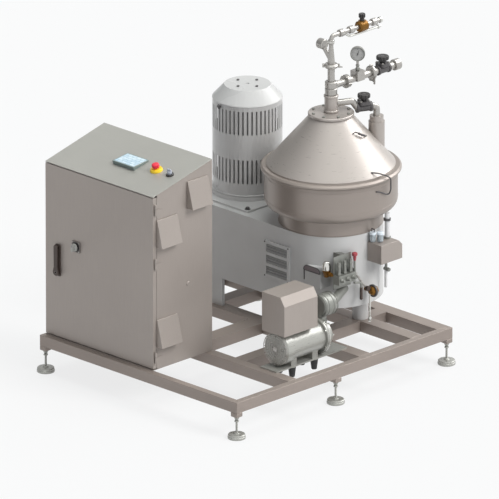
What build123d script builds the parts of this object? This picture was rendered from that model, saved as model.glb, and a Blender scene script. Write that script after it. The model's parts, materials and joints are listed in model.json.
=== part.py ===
"""Skid-mounted skimming centrifuge: a welded tube frame on levelling feet, an operator cabinet, a vertical
drive motor on a low drive housing, the bowl casing with its conical hood, and the pipework round them.

Millimetres, +Z up. The pieces are placed from the frame's front left corner at floor level, and are
saved with the origin on the floor under the middle of the whole outline.
"""

from build123d import *
from math import atan2, cos, degrees, hypot, radians, sin
import os

# Welded frame of rectangular tube
frame_length = 1460.0
front_bay_length = 466.0
middle_bay_length = 305.0
rear_bay_length = 115.0
frame_top = 205.0
rail_height = 60.0
tube_wall = 3.0
side_rail_width = 40.0
front_rail_width = 40.0
back_rail_width = 80.0
cross_rail_width = 80.0
front_cross_width = 60.0
front_cross_lead = 11.0
left_beam_x = 250.0
left_beam_width = 80.0
centre_beam_x = 604.0
centre_beam_width = 100.0
right_beam_x = 970.0
right_beam_width = 80.0

# Levelling feet
foot_inset = 22.0
middle_foot_lead = 193.0
foot_block = 44.0
foot_block_height = 24.0
foot_cone_height = 22.0
foot_cone_radius = 17.0
foot_stem_radius = 6.0
foot_disc_radius = 48.0
foot_disc_rim = 25.0
foot_disc_height = 29.0
foot_hub_radius = 14.0

# Operator cabinet
cabinet_left = 8.0
cabinet_front = 36.0
cabinet_width = 800.0
cabinet_depth = 437.0
cabinet_front_height = 964.0
desk_rise = 103.0
sheet = 3.0
lip_width = 22.0
door_thickness = 26.0
door_sheet = 2.5
door_gap = 5.0
door_side_gap = 2.0
hinge_radius = 6.0
hinge_pin_radius = 2.6
pin_clearance = 0.3
knuckle_height = 30.0
knuckle_gap = 0.3
low_hinge_height = 40.0
middle_hinge_drop = 404.0
top_hinge_drop = 104.0
hinge_offset = 8.0

# Door handle and main switch
handle_x = 97.0
handle_z = 437.0
handle_plate_width = 34.0
handle_plate_height = 176.0
handle_plate_thickness = 8.0
handle_pivot_drop = 64.0
handle_pivot_radius = 11.0
lever_width = 22.0
lever_length = 122.0
lever_thickness = 10.0
lever_gap = 5.0
switch_x = 232.0
switch_z = 545.0
switch_plate_radius = 32.0
switch_plate_thickness = 8.0
switch_knob_radius = 22.0
switch_knob_length = 24.0
switch_shaft_radius = 5.0
shaft_clearance = 0.3

# Screen and buttons on the sloping desk
screen_width = 158.0
screen_height = 115.0
screen_shift = 31.0
screen_lead = 12.0
control_lead = 8.0
screen_thickness = 12.0
screen_glass_margin = 16.0
screen_glass_recess = 2.0
stop_inset = 184.0
selector_inset = 84.0
collar_radius = 38.0
collar_height = 12.0
selector_collar_radius = 16.0
selector_collar_height = 6.0
button_shaft_radius = 9.0
mushroom_radius = 20.0
mushroom_top_radius = 14.0
mushroom_height = 16.0
button_travel = 5.0
button_clearance = 0.5
button_head_gap = 10.0
selector_radius = 13.0
selector_height = 18.0
selector_shaft_radius = 5.0

# Ventilation hoods on the cabinet's right side
hood_side = 150.0
hood_reach = 46.0
hood_top_reach = 8.0
back_hood_y = 286.0
back_hood_drop = 126.0
front_hood_y = 60.0
front_hood_drop = 284.0
low_hood_height = 126.0

# Drive housing and its legs
bowl_x = 903.0
housing_setback = 35.0
motor_offset = 619.0
housing_end_reach = 240.0
housing_radius = 277.0
housing_bottom = 359.0
housing_top = 755.0
leg_side = 90.0
leg_plate = 20.0
leg_lead = 75.0
round_leg_radius = 42.5
round_leg_lead = 202.0
louvre_x = 785.0
louvre_z = 562.0
louvre_width = 189.0
louvre_height = 205.0
louvre_depth = 12.0
louvre_border = 18.0
louvre_bars = 2
louvre_blades = 3
blade_rise = 7.0
blade_thickness = 2.5

# Drive motor
motor_plate_side = 480.0
motor_plate_thickness = 10.0
motor_lip_border = 4.0
motor_lip_height = 23.0
motor_radius = 185.0
motor_height = 501.0
motor_wall = 3.0
motor_body_radius = 150.0
motor_body_gap = 20.0
slot_count = 48
slot_width = 9.0
slot_length = 132.0
slot_drops = (25.0, 296.0)
motor_cap_height = 71.0
motor_cap_flat_radius = 127.0
cap_edge = 4.0
dimple_radius = 11.0
dimple_depth = 5.0

# Bowl casing and hood
neck_radius = 275.0
neck_height = 90.0
drum_radius = 352.0
drum_height = 200.0
drum_corner = 46.0
rim_radius = 372.0
rim_height = 26.0
rim_edge = 9.0
hood_base_radius = 340.0
hood_top_radius = 112.0
hood_height = 272.0
hood_skirt = 8.0
flange_radius = 122.0
flange_height = 15.0
flange_edge = 3.0

# Feed column over the hood
collar_outer = 35.0
collar_ring = 4.0
collar_ring_height = 14.0
ring_edge = 3.0
column_collar_height = 96.0
nut_radius = 33.0
nut_height = 75.0
nut_groove = 4.0
column_radius = 19.0
column_height = 75.0
clamp_radius = 39.0
clamp_height = 22.0
clamp_edge = 7.0
reducer_height = 92.0
top_pipe_radius = 12.0
top_line_height = 60.0
branch_rise = 16.0
branch_length = 102.0
branch_radius = 28.0
branch_head = 43.0
branch_bore = 30.0
branch_tilt = 40.6
pipe_wall = 2.0

# Water line at the top, to the rear
water_line_length = 372.0
water_valve_distance = 230.0
water_valve_radius = 30.0
water_valve_length = 62.0
water_valve_edge = 8.0
union_radius = 20.0
union_length = 34.0
union_places = (58.0, 130.0, 300.0)
elbow_nut_drop = 44.0
elbow_nut_height = 26.0
elbow_nut_radius = 17.0
water_knob_radius = 18.0
water_knob_height = 34.0

# Outlet line with gauge and valve, to the rear
outlet_length = 505.0
outlet_radius = 19.0
round_nut_radius = 36.0
round_nut_length = 26.0
round_nut_distance = 99.0
round_nut_grooves = 6
groove_radius = 6.0
groove_outset = 2.0
gauge_block_distance = 198.0
gauge_block = 54.0
gauge_block_rise = 14.0
gauge_radius = 39.0
gauge_thickness = 24.0
bezel_width = 4.0
bezel_height = 4.0
gauge_stem_radius = 7.0
gauge_rise = 92.0
gauge_turn = 45.0
outlet_clamp_distance = 300.0
outlet_valve_distance = 385.0
outlet_end_radius = 30.0
outlet_end_length = 40.0
outlet_bore_depth = 45.0
valve_body_length = 90.0
valve_body_radius = 27.0
valve_end_length = 14.0
valve_waist = 4.0
valve_bonnet_side = 62.0
valve_bonnet_corner = 14.0
valve_bonnet_height = 18.0
valve_knob_radius = 34.0
valve_knob_height = 34.0
knob_cap_share = 0.6
knob_neck = 8.0
valve_stem_radius = 9.0
knob_gap = 5.0

# Return line to the nozzle on the hood
nozzle_x = 110.0
nozzle_y = 229.0
nozzle_radius = 43.0
nozzle_top = 1308.0
nozzle_cap_height = 30.0
nozzle_step = 6.0
return_start = 45.0
return_radius = 18.0
return_bend_radius = 21.6
return_low = 1362.0
return_bend_share = 0.465
return_drop_share = 0.575
return_valve_share = 0.72

# Side box and filter bowls
box_reach = 103.0
box_lead = 8.0
box_depth = 157.0
box_bottom = 600.0
box_top = 705.0
box_inset = 80.0
box_bevel = 26.0
filter_radius = 18.0
filter_height = 46.0
filter_inset_x = 77.0
filter_inset_y = 22.0
filter_step = 27.5

# Water unit on the bowl casing's front right
panel_inset = 12.0
panel_thickness = 4.0
panel_lead = 252.0
panel_length = 128.0
panel_bottom = 495.0
panel_height = 181.0
manifold_rise = 31.8
panel_arm_width = 30.0
manifold_depth = 38.0
manifold_height = 50.0
stem_radius = 9.0
stem_height = 70.0
stem_count = 3
regulator_inset = 43.0
regulator_lead = 6.0
regulator_radius = 22.0
regulator_height = 40.0
regulator_lift = 27.0
dome_radius = 24.0
dome_height = 50.0
dome_top_radius = 13.0
dome_shoulder = 22.0
strainer_reach = 53.0
strainer_z = 448.0
strainer_radius = 27.5
strainer_length = 40.0
spigot_radius = 13.5

# Hatch on the housing's round end
hatch_x = 133.0
hatch_corner = 28.0
hatch_width = 120.0
hatch_height = 112.0
hatch_z = 485.0
hatch_shortfall = 3.0

# Pump set
pump_x = 1232.0
pump_z = 310.0
pump_radius = 90.0
pump_front_gap = 32.0
pump_length = 315.0
fan_cover_length = 60.0
fan_cover_edge = 12.0
barrel_radius = 80.0
pump_flange_radius = 96.0
pump_flange_thickness = 18.0
pump_head_length = 50.0
pump_head_radius = 72.0
pump_plate_width = 120.0
pump_plate_thickness = 8.0
pump_plate_landing = 20.0
pump_foot_width = 116.0
pump_foot_depth = 40.0
buffer_offset = 45.0
buffer_places = (79.0, 243.0)
buffer_radius = 20.0
buffer_foot_radius = 13.0
buffer_height = 55.0
pump_box_width = 167.0
pump_box_depth = 247.0
pump_box_lead = 17.0
pump_box_bottom = 400.0
pump_box_top = 615.0
pump_box_bevel_x = 30.0
pump_box_bevel_z = 47.0
riser_radius = 25.0
riser_bend_radius = 35.0
delivery_z = 466.0
sleeve_radius = 60.0
sleeve_gap = 4.0
sleeve_length = 88.0
delivery_lead = 117.0
delivery_end_x = 225.0
delivery_end_y = 128.0

# Drawn values
half_width = cabinet_width / 2
cabinet_right = cabinet_left + cabinet_width
cabinet_back = cabinet_front + cabinet_depth
desk_slope = atan2(desk_rise, cabinet_depth)
body_front = cabinet_front + door_thickness + door_gap
hinge_heights = (
    low_hinge_height,
    cabinet_front_height - middle_hinge_drop,
    cabinet_front_height - top_hinge_drop,
)
hood_places = (
    (back_hood_y, cabinet_front_height - back_hood_drop),
    (front_hood_y, cabinet_front_height - front_hood_drop),
    (front_hood_y, low_hood_height),
)
stop_x = cabinet_right - stop_inset
selector_x = cabinet_right - selector_inset
front_cross_y = cabinet_back + front_cross_lead - front_cross_width
middle_cross_y = front_cross_y + front_cross_width + front_bay_length
rear_cross_y = middle_cross_y + cross_rail_width + middle_bay_length
frame_depth = rear_cross_y + cross_rail_width + rear_bay_length + back_rail_width
middle_foot_y = middle_cross_y - middle_foot_lead
bowl_y = middle_cross_y + housing_setback + housing_radius
housing_front = bowl_y - housing_radius
leg_x = left_beam_x + leg_lead
motor_x = bowl_x - motor_offset
motor_seat = housing_top + motor_plate_thickness
motor_bottom = motor_seat + motor_lip_height
motor_top = motor_bottom + motor_height
drum_bottom = housing_top + neck_height
rim_bottom = drum_bottom + drum_height
rim_top = rim_bottom + rim_height
hood_top = rim_top + hood_height
flange_top = hood_top + flange_height
collar_top = flange_top + column_collar_height
nut_top = collar_top + nut_height
column_top = nut_top + column_height
clamp_top = column_top + clamp_height
reducer_top = clamp_top + reducer_height
water_line_z = reducer_top + top_line_height
outlet_z = collar_top + nut_height * 0.6
outlet_end = bowl_y + outlet_length
housing_right = bowl_x + housing_radius
box_x = housing_right + box_reach
box_back_x = housing_right - box_inset
box_y = bowl_y - box_lead
panel_x = housing_right - panel_inset
panel_y = bowl_y - panel_lead
regulator_x = panel_x - regulator_inset
regulator_y = panel_y - regulator_lead
strainer_x = housing_right + strainer_reach
pump_front = front_cross_y + front_cross_width + pump_front_gap
pump_flange_y = pump_front + pump_length
origin_x = frame_length / 2
origin_y = (foot_inset - foot_disc_radius + outlet_end) / 2


def block(x0, x1, y0, y1, z0, z1):
    """A rectangular solid between two values on each axis."""
    return Pos((x0 + x1) / 2, (y0 + y1) / 2, (z0 + z1) / 2) * Box(x1 - x0, y1 - y0, z1 - z0)


def upright(x, y, z0, z1, radius):
    """A vertical cylinder."""
    return Pos(x, y, (z0 + z1) / 2) * Cylinder(radius, z1 - z0)


def lying(x, z, y0, y1, radius):
    """A cylinder along Y."""
    return Pos(x, (y0 + y1) / 2, z) * Rot(90, 0, 0) * Cylinder(radius, y1 - y0)


def turned(points, x=0.0, y=0.0):
    """A solid turned about a vertical axis from an outline of radius and height. Steps may share an end."""
    corners = [point for before, point in zip([None, *points], points) if point != before]
    face = Plane.XZ * make_face(Polyline(*corners, close=True))
    return Pos(x, y, 0) * revolve(face, Axis.Z)


def lying_turned(x, z, y0, points):
    """A solid turned about an axis along Y, from an outline of radius and distance from its front."""
    return Pos(x, y0, z) * Rot(-90, 0, 0) * turned(points)


def ring(z0, z1, radius, edge):
    """The outline of a round step with bevelled edges, from its foot to its top."""
    return [(radius - edge, z0), (radius, z0 + edge), (radius, z1 - edge), (radius - edge, z1)]


def side_profile(points, x0, x1):
    """A prism along X from an outline in Y and Z."""
    face = Plane.YZ * make_face(Polyline(*points, close=True))
    return Pos(x0, 0, 0) * extrude(face, x1 - x0, dir=(1, 0, 0))


def plan_profile(points, z0, z1):
    """A prism along Z from an outline in X and Y."""
    return Pos(0, 0, z0) * extrude(make_face(Polyline(*points, close=True)), z1 - z0, dir=(0, 0, 1))


def piped(points, radius, bend):
    """A round bar along a path of straight runs with bends between them."""
    path = FilletPolyline(*points, radius=bend)
    return sweep(Plane(origin=path @ 0, z_dir=path % 0) * Circle(radius), path=path)


def save(name, shape):
    """Write one piece, moved so that the origin lies under the middle of the outline."""
    export_step(Pos(-origin_x, -origin_y, 0) * shape, f"parts/{name}.step")


def hollow(shape, x0, x1, y0, y1):
    """A rail with its long bore, which runs out through both ends."""
    low = frame_top - rail_height + tube_wall
    return shape - block(x0, x1, y0, y1, low, frame_top - tube_wall)


def frame_rails():
    """The four outer rails, mitred at the corners."""
    low = frame_top - rail_height
    side = side_rail_width
    right = frame_length - side
    back = frame_depth - back_rail_width
    left_plan = ((0, 0), (side, front_rail_width), (side, back), (0, frame_depth))
    right_plan = [(frame_length - x, y) for x, y in left_plan]
    front_plan = ((0, 0), (frame_length, 0), (right, front_rail_width), (side, front_rail_width))
    back_plan = ((0, frame_depth), (frame_length, frame_depth), (right, back), (side, back))
    wall = tube_wall
    rails = {}
    rail = plan_profile(left_plan, low, frame_top)
    rails["rail_left"] = hollow(rail, wall, side - wall, -wall, frame_depth + wall)
    rail = plan_profile(right_plan, low, frame_top)
    rails["rail_right"] = hollow(rail, right + wall, frame_length - wall, -wall, frame_depth + wall)
    rail = plan_profile(front_plan, low, frame_top)
    rails["rail_front"] = hollow(rail, -wall, frame_length + wall, wall, front_rail_width - wall)
    rail = plan_profile(back_plan, low, frame_top)
    rails["rail_back"] = hollow(rail, -wall, frame_length + wall, back + wall, frame_depth - wall)
    return rails


def cross_rail(y, width):
    """A rail along X, between the side rails."""
    x0 = side_rail_width
    x1 = frame_length - side_rail_width
    rail = block(x0, x1, y, y + width, frame_top - rail_height, frame_top)
    return hollow(rail, x0 - 1, x1 + 1, y + tube_wall, y + width - tube_wall)


def beams(places):
    """The beams along Y, between the cross rails."""
    pieces = []
    for x, width, (y0, y1) in places:
        rail = block(x, x + width, y0, y1, frame_top - rail_height, frame_top)
        pieces.append(hollow(rail, x + tube_wall, x + width - tube_wall, y0 - 1, y1 + 1))
    return Compound(children=pieces)


def foot(x, y):
    """A foot block under a rail, with the screw and disc of its levelling foot."""
    low = frame_top - rail_height
    half = foot_block / 2
    cone_top = low - foot_block_height
    outline = (
        (0, 0),
        (foot_disc_radius, 0),
        (foot_disc_radius, foot_disc_rim),
        (foot_hub_radius, foot_disc_height),
        (foot_stem_radius, foot_disc_height),
        (foot_stem_radius, cone_top - foot_cone_height),
        (foot_cone_radius, cone_top),
        (0, cone_top),
    )
    return turned(outline, x, y) + block(x - half, x + half, y - half, y + half, cone_top, low)


def feet():
    """Six feet: four corners and one under the middle of each side."""
    left = foot_inset
    right = frame_length - foot_inset
    places = (foot_inset, middle_foot_y, frame_depth - foot_inset)
    return Compound(children=[foot(x, y) for x in (left, right) for y in places])


def desk_height(y, drop=0.0):
    """The height of the sloping top at a distance from the front."""
    share = (y - cabinet_front) / cabinet_depth
    return frame_top + cabinet_front_height + desk_rise * share - drop / cos(desk_slope)


def cabinet():
    """The five walls of the cabinet, open at the front."""
    floor_top = frame_top + sheet
    inner_back = cabinet_back - sheet
    outline = (
        (body_front, floor_top),
        (inner_back, floor_top),
        (inner_back, desk_height(inner_back, sheet)),
        (body_front, desk_height(body_front, sheet)),
    )
    lip = (
        (body_front, floor_top),
        (body_front + sheet, floor_top),
        (body_front + sheet, desk_height(body_front + sheet, sheet)),
        (body_front, desk_height(body_front, sheet)),
    )
    back = (
        (inner_back, floor_top),
        (cabinet_back, floor_top),
        (cabinet_back, desk_height(cabinet_back, sheet)),
        (inner_back, desk_height(inner_back, sheet)),
    )
    top = (
        (cabinet_front, desk_height(cabinet_front, sheet)),
        (cabinet_back, desk_height(cabinet_back, sheet)),
        (cabinet_back, desk_height(cabinet_back)),
        (cabinet_front, desk_height(cabinet_front)),
    )
    left = side_profile(outline, cabinet_left, cabinet_left + sheet)
    left += side_profile(lip, cabinet_left, cabinet_left + lip_width)
    right = side_profile(outline, cabinet_right - sheet, cabinet_right)
    right += side_profile(lip, cabinet_right - lip_width, cabinet_right)
    return {
        "cabinet_left_side": left,
        "cabinet_right_side": right,
        "cabinet_back": side_profile(back, cabinet_left, cabinet_right),
        "cabinet_top": side_profile(top, cabinet_left, cabinet_right),
        "cabinet_floor": block(
            cabinet_left, cabinet_right, cabinet_front, cabinet_back, frame_top, floor_top
        ),
    }


def hinge_axis():
    """The place of the door's hinge line, beside the cabinet's right edge."""
    return cabinet_right + hinge_offset, cabinet_front + door_thickness / 2


def door():
    """The door as a pan of sheet, with its hinge knuckles."""
    hinge_x, hinge_y = hinge_axis()
    x0 = cabinet_left + door_side_gap
    x1 = cabinet_right
    y1 = cabinet_front + door_thickness
    z0 = frame_top + sheet + door_gap
    z1 = desk_height(cabinet_front, sheet) - door_gap
    leaf = block(x0, x1, cabinet_front, y1, z0, z1)
    pan = block(
        x0 + lip_width, x1 - lip_width, cabinet_front + door_sheet, y1 + 1, z0 + lip_width, z1 - lip_width
    )
    leaf -= pan
    for height in hinge_heights:
        z = frame_top + height + knuckle_height + knuckle_gap
        knuckle = upright(hinge_x, hinge_y, z, z + knuckle_height, hinge_radius)
        y0 = hinge_y - hinge_pin_radius
        leaf += knuckle + block(x1, hinge_x, y0, y0 + 2 * hinge_pin_radius, z, z + knuckle_height)
    for height in hinge_heights:
        z = frame_top + height + knuckle_height + knuckle_gap
        bore = hinge_pin_radius + pin_clearance
        leaf -= upright(hinge_x, hinge_y, z - 1, z + knuckle_height + 1, bore)
    return leaf


def hinges():
    """The fixed knuckles with their pins, and the leaves that hold them on the cabinet's side."""
    hinge_x, hinge_y = hinge_axis()
    pieces = []
    for height in hinge_heights:
        z = frame_top + height
        pin_top = z + 2 * knuckle_height + knuckle_gap
        knuckle = upright(hinge_x, hinge_y, z, z + knuckle_height, hinge_radius)
        pin = upright(hinge_x, hinge_y, z, pin_top, hinge_pin_radius)
        x0 = cabinet_right
        x1 = cabinet_right + sheet
        leaf = block(x0, x1, body_front, body_front + knuckle_height, z, z + knuckle_height)
        inset = hinge_pin_radius
        arm = block(x0 + inset, x1 + inset, hinge_y, body_front + sheet, z, z + knuckle_height)
        pieces.append(leaf + arm + knuckle + pin)
    return Compound(children=pieces)


def door_fittings():
    """The swing handle and the main switch on the door."""
    face = cabinet_front
    plate_front = face - handle_plate_thickness
    x = cabinet_left + handle_x
    z = frame_top + handle_z
    half = handle_plate_height / 2
    half_plate = handle_plate_width / 2
    plate = block(x - half_plate, x + half_plate, plate_front, face, z - half, z + half)
    pivot_z = z - handle_pivot_drop
    stub_end = plate_front - lever_gap - lever_thickness
    plate += lying(x, pivot_z, stub_end, face, handle_pivot_radius / 2)
    switch_px = cabinet_left + switch_x
    switch_pz = frame_top + switch_z
    rose = lying(switch_px, switch_pz, face - switch_plate_thickness, face, switch_plate_radius)
    shaft_end = face - switch_plate_thickness - knob_gap - switch_knob_length / 2
    rose += lying(switch_px, switch_pz, shaft_end, face, switch_shaft_radius)
    lever_front = plate_front - lever_gap - lever_thickness
    hub = lying(x, pivot_z, lever_front, plate_front - knuckle_gap, handle_pivot_radius + lever_gap)
    half_lever = lever_width / 2
    lever_back = plate_front - lever_gap
    lever = hub + block(
        x - half_lever, x + half_lever, lever_front, lever_back, pivot_z, pivot_z + lever_length
    )
    lever -= lying(x, pivot_z, lever_front - 1, face, handle_pivot_radius / 2 + shaft_clearance)
    knob_back = face - switch_plate_thickness - knob_gap
    knob = lying(switch_px, switch_pz, knob_back - switch_knob_length, knob_back, switch_knob_radius)
    collar_end = face - switch_plate_thickness - knuckle_gap
    knob += lying(switch_px, switch_pz, knob_back - 1, collar_end, switch_shaft_radius + sheet)
    bore = switch_shaft_radius + shaft_clearance
    knob -= lying(switch_px, switch_pz, shaft_end - knuckle_gap, face, bore)
    return {
        "door_plates": Compound(children=[plate, rose]),
        "door_handle": lever,
        "main_switch_knob": knob,
    }


def on_desk(shape, x, y):
    """Place a shape, drawn flat with its foot at the origin, on the sloping top."""
    return Pos(x, y, desk_height(y)) * Rot(degrees(desk_slope), 0, 0) * shape


def desk_fittings():
    """The screen, the stop button and the selector along the desk's middle line."""
    mid_y = cabinet_front + cabinet_depth / 2
    frame = Pos(0, 0, screen_thickness / 2) * Box(screen_width, screen_height, screen_thickness)
    glass_w = screen_width - 2 * screen_glass_margin
    glass_h = screen_height - 2 * screen_glass_margin
    glass = Box(glass_w, glass_h, screen_glass_recess)
    frame -= Pos(0, 0, screen_thickness - screen_glass_recess / 2) * glass
    bore = button_shaft_radius + shaft_clearance
    collar = turned(
        (
            (bore, 0),
            (collar_radius, 0),
            (collar_radius, collar_height / 2),
            (collar_radius - collar_height / 2, collar_height),
            (bore, collar_height),
        )
    )
    shaft_foot = button_travel + button_clearance
    head_foot = collar_height + button_head_gap
    mushroom = turned(
        (
            (0, shaft_foot),
            (button_shaft_radius, shaft_foot),
            (button_shaft_radius, head_foot),
            (mushroom_radius, head_foot),
            (mushroom_radius, head_foot + mushroom_height / 2),
            (mushroom_top_radius, head_foot + mushroom_height),
            (0, head_foot + mushroom_height),
        )
    )
    bore = selector_shaft_radius + shaft_clearance
    seat = turned(
        (
            (bore, 0),
            (selector_collar_radius, 0),
            (selector_collar_radius, selector_collar_height),
            (bore, selector_collar_height),
        )
    )
    knob_foot = selector_collar_height + knob_gap
    knob = turned(
        (
            (0, knuckle_gap),
            (selector_shaft_radius, knuckle_gap),
            (selector_shaft_radius, knob_foot),
            (selector_radius, knob_foot),
            (selector_radius, knob_foot + selector_height),
            (0, knob_foot + selector_height),
        )
    )
    row_y = mid_y - control_lead
    collars = [on_desk(collar, stop_x, row_y), on_desk(seat, selector_x, row_y)]
    screen_x = cabinet_left + half_width + screen_shift
    return {
        "touch_screen": on_desk(frame, screen_x, mid_y - screen_lead),
        "button_collars": Compound(children=collars),
        "stop_button": on_desk(mushroom, stop_x, row_y),
        "selector_knob": on_desk(knob, selector_x, row_y),
    }


def vent_hood(y, z):
    """A wedge-shaped cover, thin at its top and standing out at its foot."""
    x0 = cabinet_right
    outline = (
        (x0, z),
        (x0 + hood_reach, z),
        (x0 + hood_top_reach, z + hood_side),
        (x0, z + hood_side),
    )
    face = Plane.XZ * make_face(Polyline(*outline, close=True))
    return Pos(0, y, 0) * extrude(face, hood_side, dir=(0, 1, 0))


def vent_hoods():
    """The upper hood near the back and the two hoods near the front."""
    return Compound(children=[vent_hood(y, frame_top + z) for y, z in hood_places])


def housing_end():
    """The round end of the housing, for cutting what is fastened on it."""
    return upright(bowl_x, bowl_y, housing_bottom, housing_top, housing_radius)


def housing_solid():
    """The low drive housing: a long box round the belt drive with a round end under the bowl."""
    x0 = motor_x - housing_end_reach
    y0 = housing_front
    y1 = bowl_y + housing_radius
    shape = block(x0, bowl_x, y0, y1, housing_bottom, housing_top)
    return shape + housing_end()


def housing_legs():
    """Two square legs at the motor end and two round legs under the bowl."""
    half = leg_side / 2
    y0 = housing_front
    y1 = bowl_y + housing_radius
    legs = []
    for y in (y0, y1 - leg_plate):
        legs.append(block(leg_x - half, leg_x + half, y, y + leg_plate, frame_top, housing_bottom))
    beam_mid = right_beam_x + right_beam_width / 2
    for y in (bowl_y - round_leg_lead, rear_cross_y + cross_rail_width / 2):
        legs.append(upright(beam_mid, y, frame_top, housing_bottom, round_leg_radius))
    return Compound(children=legs)


def louvre():
    """A framed grille: broad bars, with slanted blades between them."""
    x0 = louvre_x - louvre_width / 2
    x1 = louvre_x + louvre_width / 2
    z0 = louvre_z - louvre_height / 2
    front = housing_front - louvre_depth
    back = housing_front - sheet
    shape = block(x0, x1, front, housing_front, z0, z0 + louvre_height)
    inner_x0 = x0 + louvre_border
    inner_x1 = x1 - louvre_border
    bay = (louvre_height - louvre_border * (louvre_bars + 2)) / (louvre_bars + 1)
    pitch = bay / louvre_blades
    for index in range(louvre_bars + 1):
        low = z0 + louvre_border + index * (bay + louvre_border)
        shape -= block(inner_x0, inner_x1, front - 1, back, low, low + bay)
        for blade in range(louvre_blades):
            foot = low + blade * pitch + blade_thickness
            outline = (
                (front + blade_thickness, foot),
                (back, foot + blade_rise),
                (back, foot + blade_rise + blade_thickness),
                (front + blade_thickness, foot + blade_thickness),
            )
            shape += side_profile(outline, inner_x0, inner_x1)
    return shape


def motor_cover():
    """The sheet cylinder round the motor, with its two bands of upright slots."""
    bore = upright(motor_x, bowl_y, motor_bottom - 1, motor_top + 1, motor_radius - motor_wall)
    cover = upright(motor_x, bowl_y, motor_bottom, motor_top, motor_radius) - bore
    slots = []
    for drop in slot_drops:
        slot_z = motor_top - drop - slot_length / 2
        for index in range(slot_count):
            turn = Rot(0, 0, index * 360 / slot_count)
            slot = Pos(motor_radius, 0, 0) * Box(3 * motor_wall, slot_width, slot_length)
            slots.append(Pos(motor_x, bowl_y, slot_z) * turn * slot)
    return cover - slots


def motor():
    """The square plate, the motor body in its slotted cover, and the conical cap."""
    half = motor_plate_side / 2
    plate = block(motor_x - half, motor_x + half, bowl_y - half, bowl_y + half, housing_top, motor_seat)
    plate += upright(motor_x, bowl_y, motor_seat, motor_bottom, motor_radius + motor_lip_border)
    body = upright(motor_x, bowl_y, motor_bottom, motor_top - motor_body_gap, motor_body_radius)
    crown = motor_top + motor_cap_height
    cap = turned(
        (
            (0, motor_top),
            (motor_radius, motor_top),
            (motor_radius, motor_top + cap_edge),
            (motor_cap_flat_radius, crown - cap_edge),
            (motor_cap_flat_radius - cap_edge, crown),
            (dimple_radius, crown),
            (dimple_radius, crown - dimple_depth),
            (0, crown - dimple_depth),
        ),
        motor_x,
        bowl_y,
    )
    return {"motor_plate": plate, "motor_body": body, "motor_cover": motor_cover(), "motor_cap": cap}


def bowl_casing():
    """Neck, drum and rim of the casing round the bowl."""
    drum = upright(bowl_x, bowl_y, drum_bottom, rim_bottom, drum_radius)
    drum = fillet(drum.edges().sort_by(Axis.Z)[0], drum_corner)
    drum += upright(bowl_x, bowl_y, housing_top, drum_bottom, neck_radius)
    outline = [(0, rim_bottom), *ring(rim_bottom, rim_top, rim_radius, rim_edge), (0, rim_top)]
    rim = turned(outline, bowl_x, bowl_y)
    return {"bowl_drum": drum, "rim_clamp": rim}


def hood():
    """The conical hood and the flange on its top."""
    cone = turned(
        (
            (0, rim_top),
            (hood_base_radius, rim_top),
            (hood_base_radius, rim_top + hood_skirt),
            (hood_top_radius, hood_top),
            (0, hood_top),
        ),
        bowl_x,
        bowl_y,
    )
    foot_ring = ring(flange_top, flange_top + collar_ring_height, collar_outer + collar_ring, ring_edge)
    top_ring = ring(collar_top - collar_ring_height, collar_top, collar_outer + collar_ring, ring_edge)
    outline = [
        (0, hood_top),
        *ring(hood_top, flange_top, flange_radius, flange_edge),
        *foot_ring,
        (collar_outer, flange_top + collar_ring_height),
        (collar_outer, collar_top - collar_ring_height),
        *top_ring,
        (0, collar_top),
    ]
    return {"hood_cone": cone, "hood_flange": turned(outline, bowl_x, bowl_y)}


def branch_centre():
    """The middle of the level head on the leaning branch."""
    tilt = radians(branch_tilt)
    foot_z = clamp_top + branch_rise
    return bowl_x - branch_length * sin(tilt), bowl_y, foot_z + branch_length * cos(tilt)


def feed_pipe():
    """The nuts, pipe, clamp, reducer and leaning branch over the collar."""
    nut_middle = (collar_top + nut_top) / 2
    outline = [
        (0, collar_top),
        *ring(collar_top, nut_middle, nut_radius, nut_groove),
        *ring(nut_middle, nut_top, nut_radius, nut_groove),
        (column_radius, nut_top),
        (column_radius, column_top),
        *ring(column_top, clamp_top, clamp_radius, clamp_edge),
        (column_radius, clamp_top),
        (column_radius, clamp_top + branch_rise),
        (top_pipe_radius, reducer_top),
        (0, reducer_top),
    ]
    pipe = turned(outline, bowl_x, bowl_y)
    lean = Pos(bowl_x, bowl_y, clamp_top + branch_rise) * Rot(0, -branch_tilt, 0)
    neck = lean * upright(0, 0, 0, branch_length, top_pipe_radius)
    across = Pos(*branch_centre()) * Rot(0, -90, 0)
    head = turned([(0, 0), *ring(0, branch_head, branch_radius, ring_edge), (0, branch_head)])
    bore = upright(0, 0, branch_head / 2 - branch_bore, branch_head, branch_radius - pipe_wall * 2)
    return pipe + neck + across * Pos(0, 0, -branch_head / 2) * head - across * bore


def water_line():
    """The thin line from the column's top to the rear, with its unions."""
    start = (bowl_x, bowl_y, reducer_top)
    corner = (bowl_x, bowl_y, water_line_z)
    end = (bowl_x, bowl_y + water_line_length, water_line_z)
    line = piped((start, corner, end), top_pipe_radius, top_pipe_radius * 2)
    outline = [(0, 0), *ring(0, union_length, union_radius, ring_edge), (0, union_length)]
    for place in union_places:
        line += lying_turned(bowl_x, water_line_z, bowl_y + place, outline)
    nut_foot = water_line_z - elbow_nut_drop
    nut_top_z = nut_foot + elbow_nut_height
    outline = [(0, nut_foot), *ring(nut_foot, nut_top_z, elbow_nut_radius, ring_edge), (0, nut_top_z)]
    line += turned(outline, bowl_x, bowl_y)
    y0 = bowl_y + water_valve_distance - water_valve_length / 2
    return line - lying(bowl_x, water_line_z, y0, y0 + water_valve_length, water_valve_radius)


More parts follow.
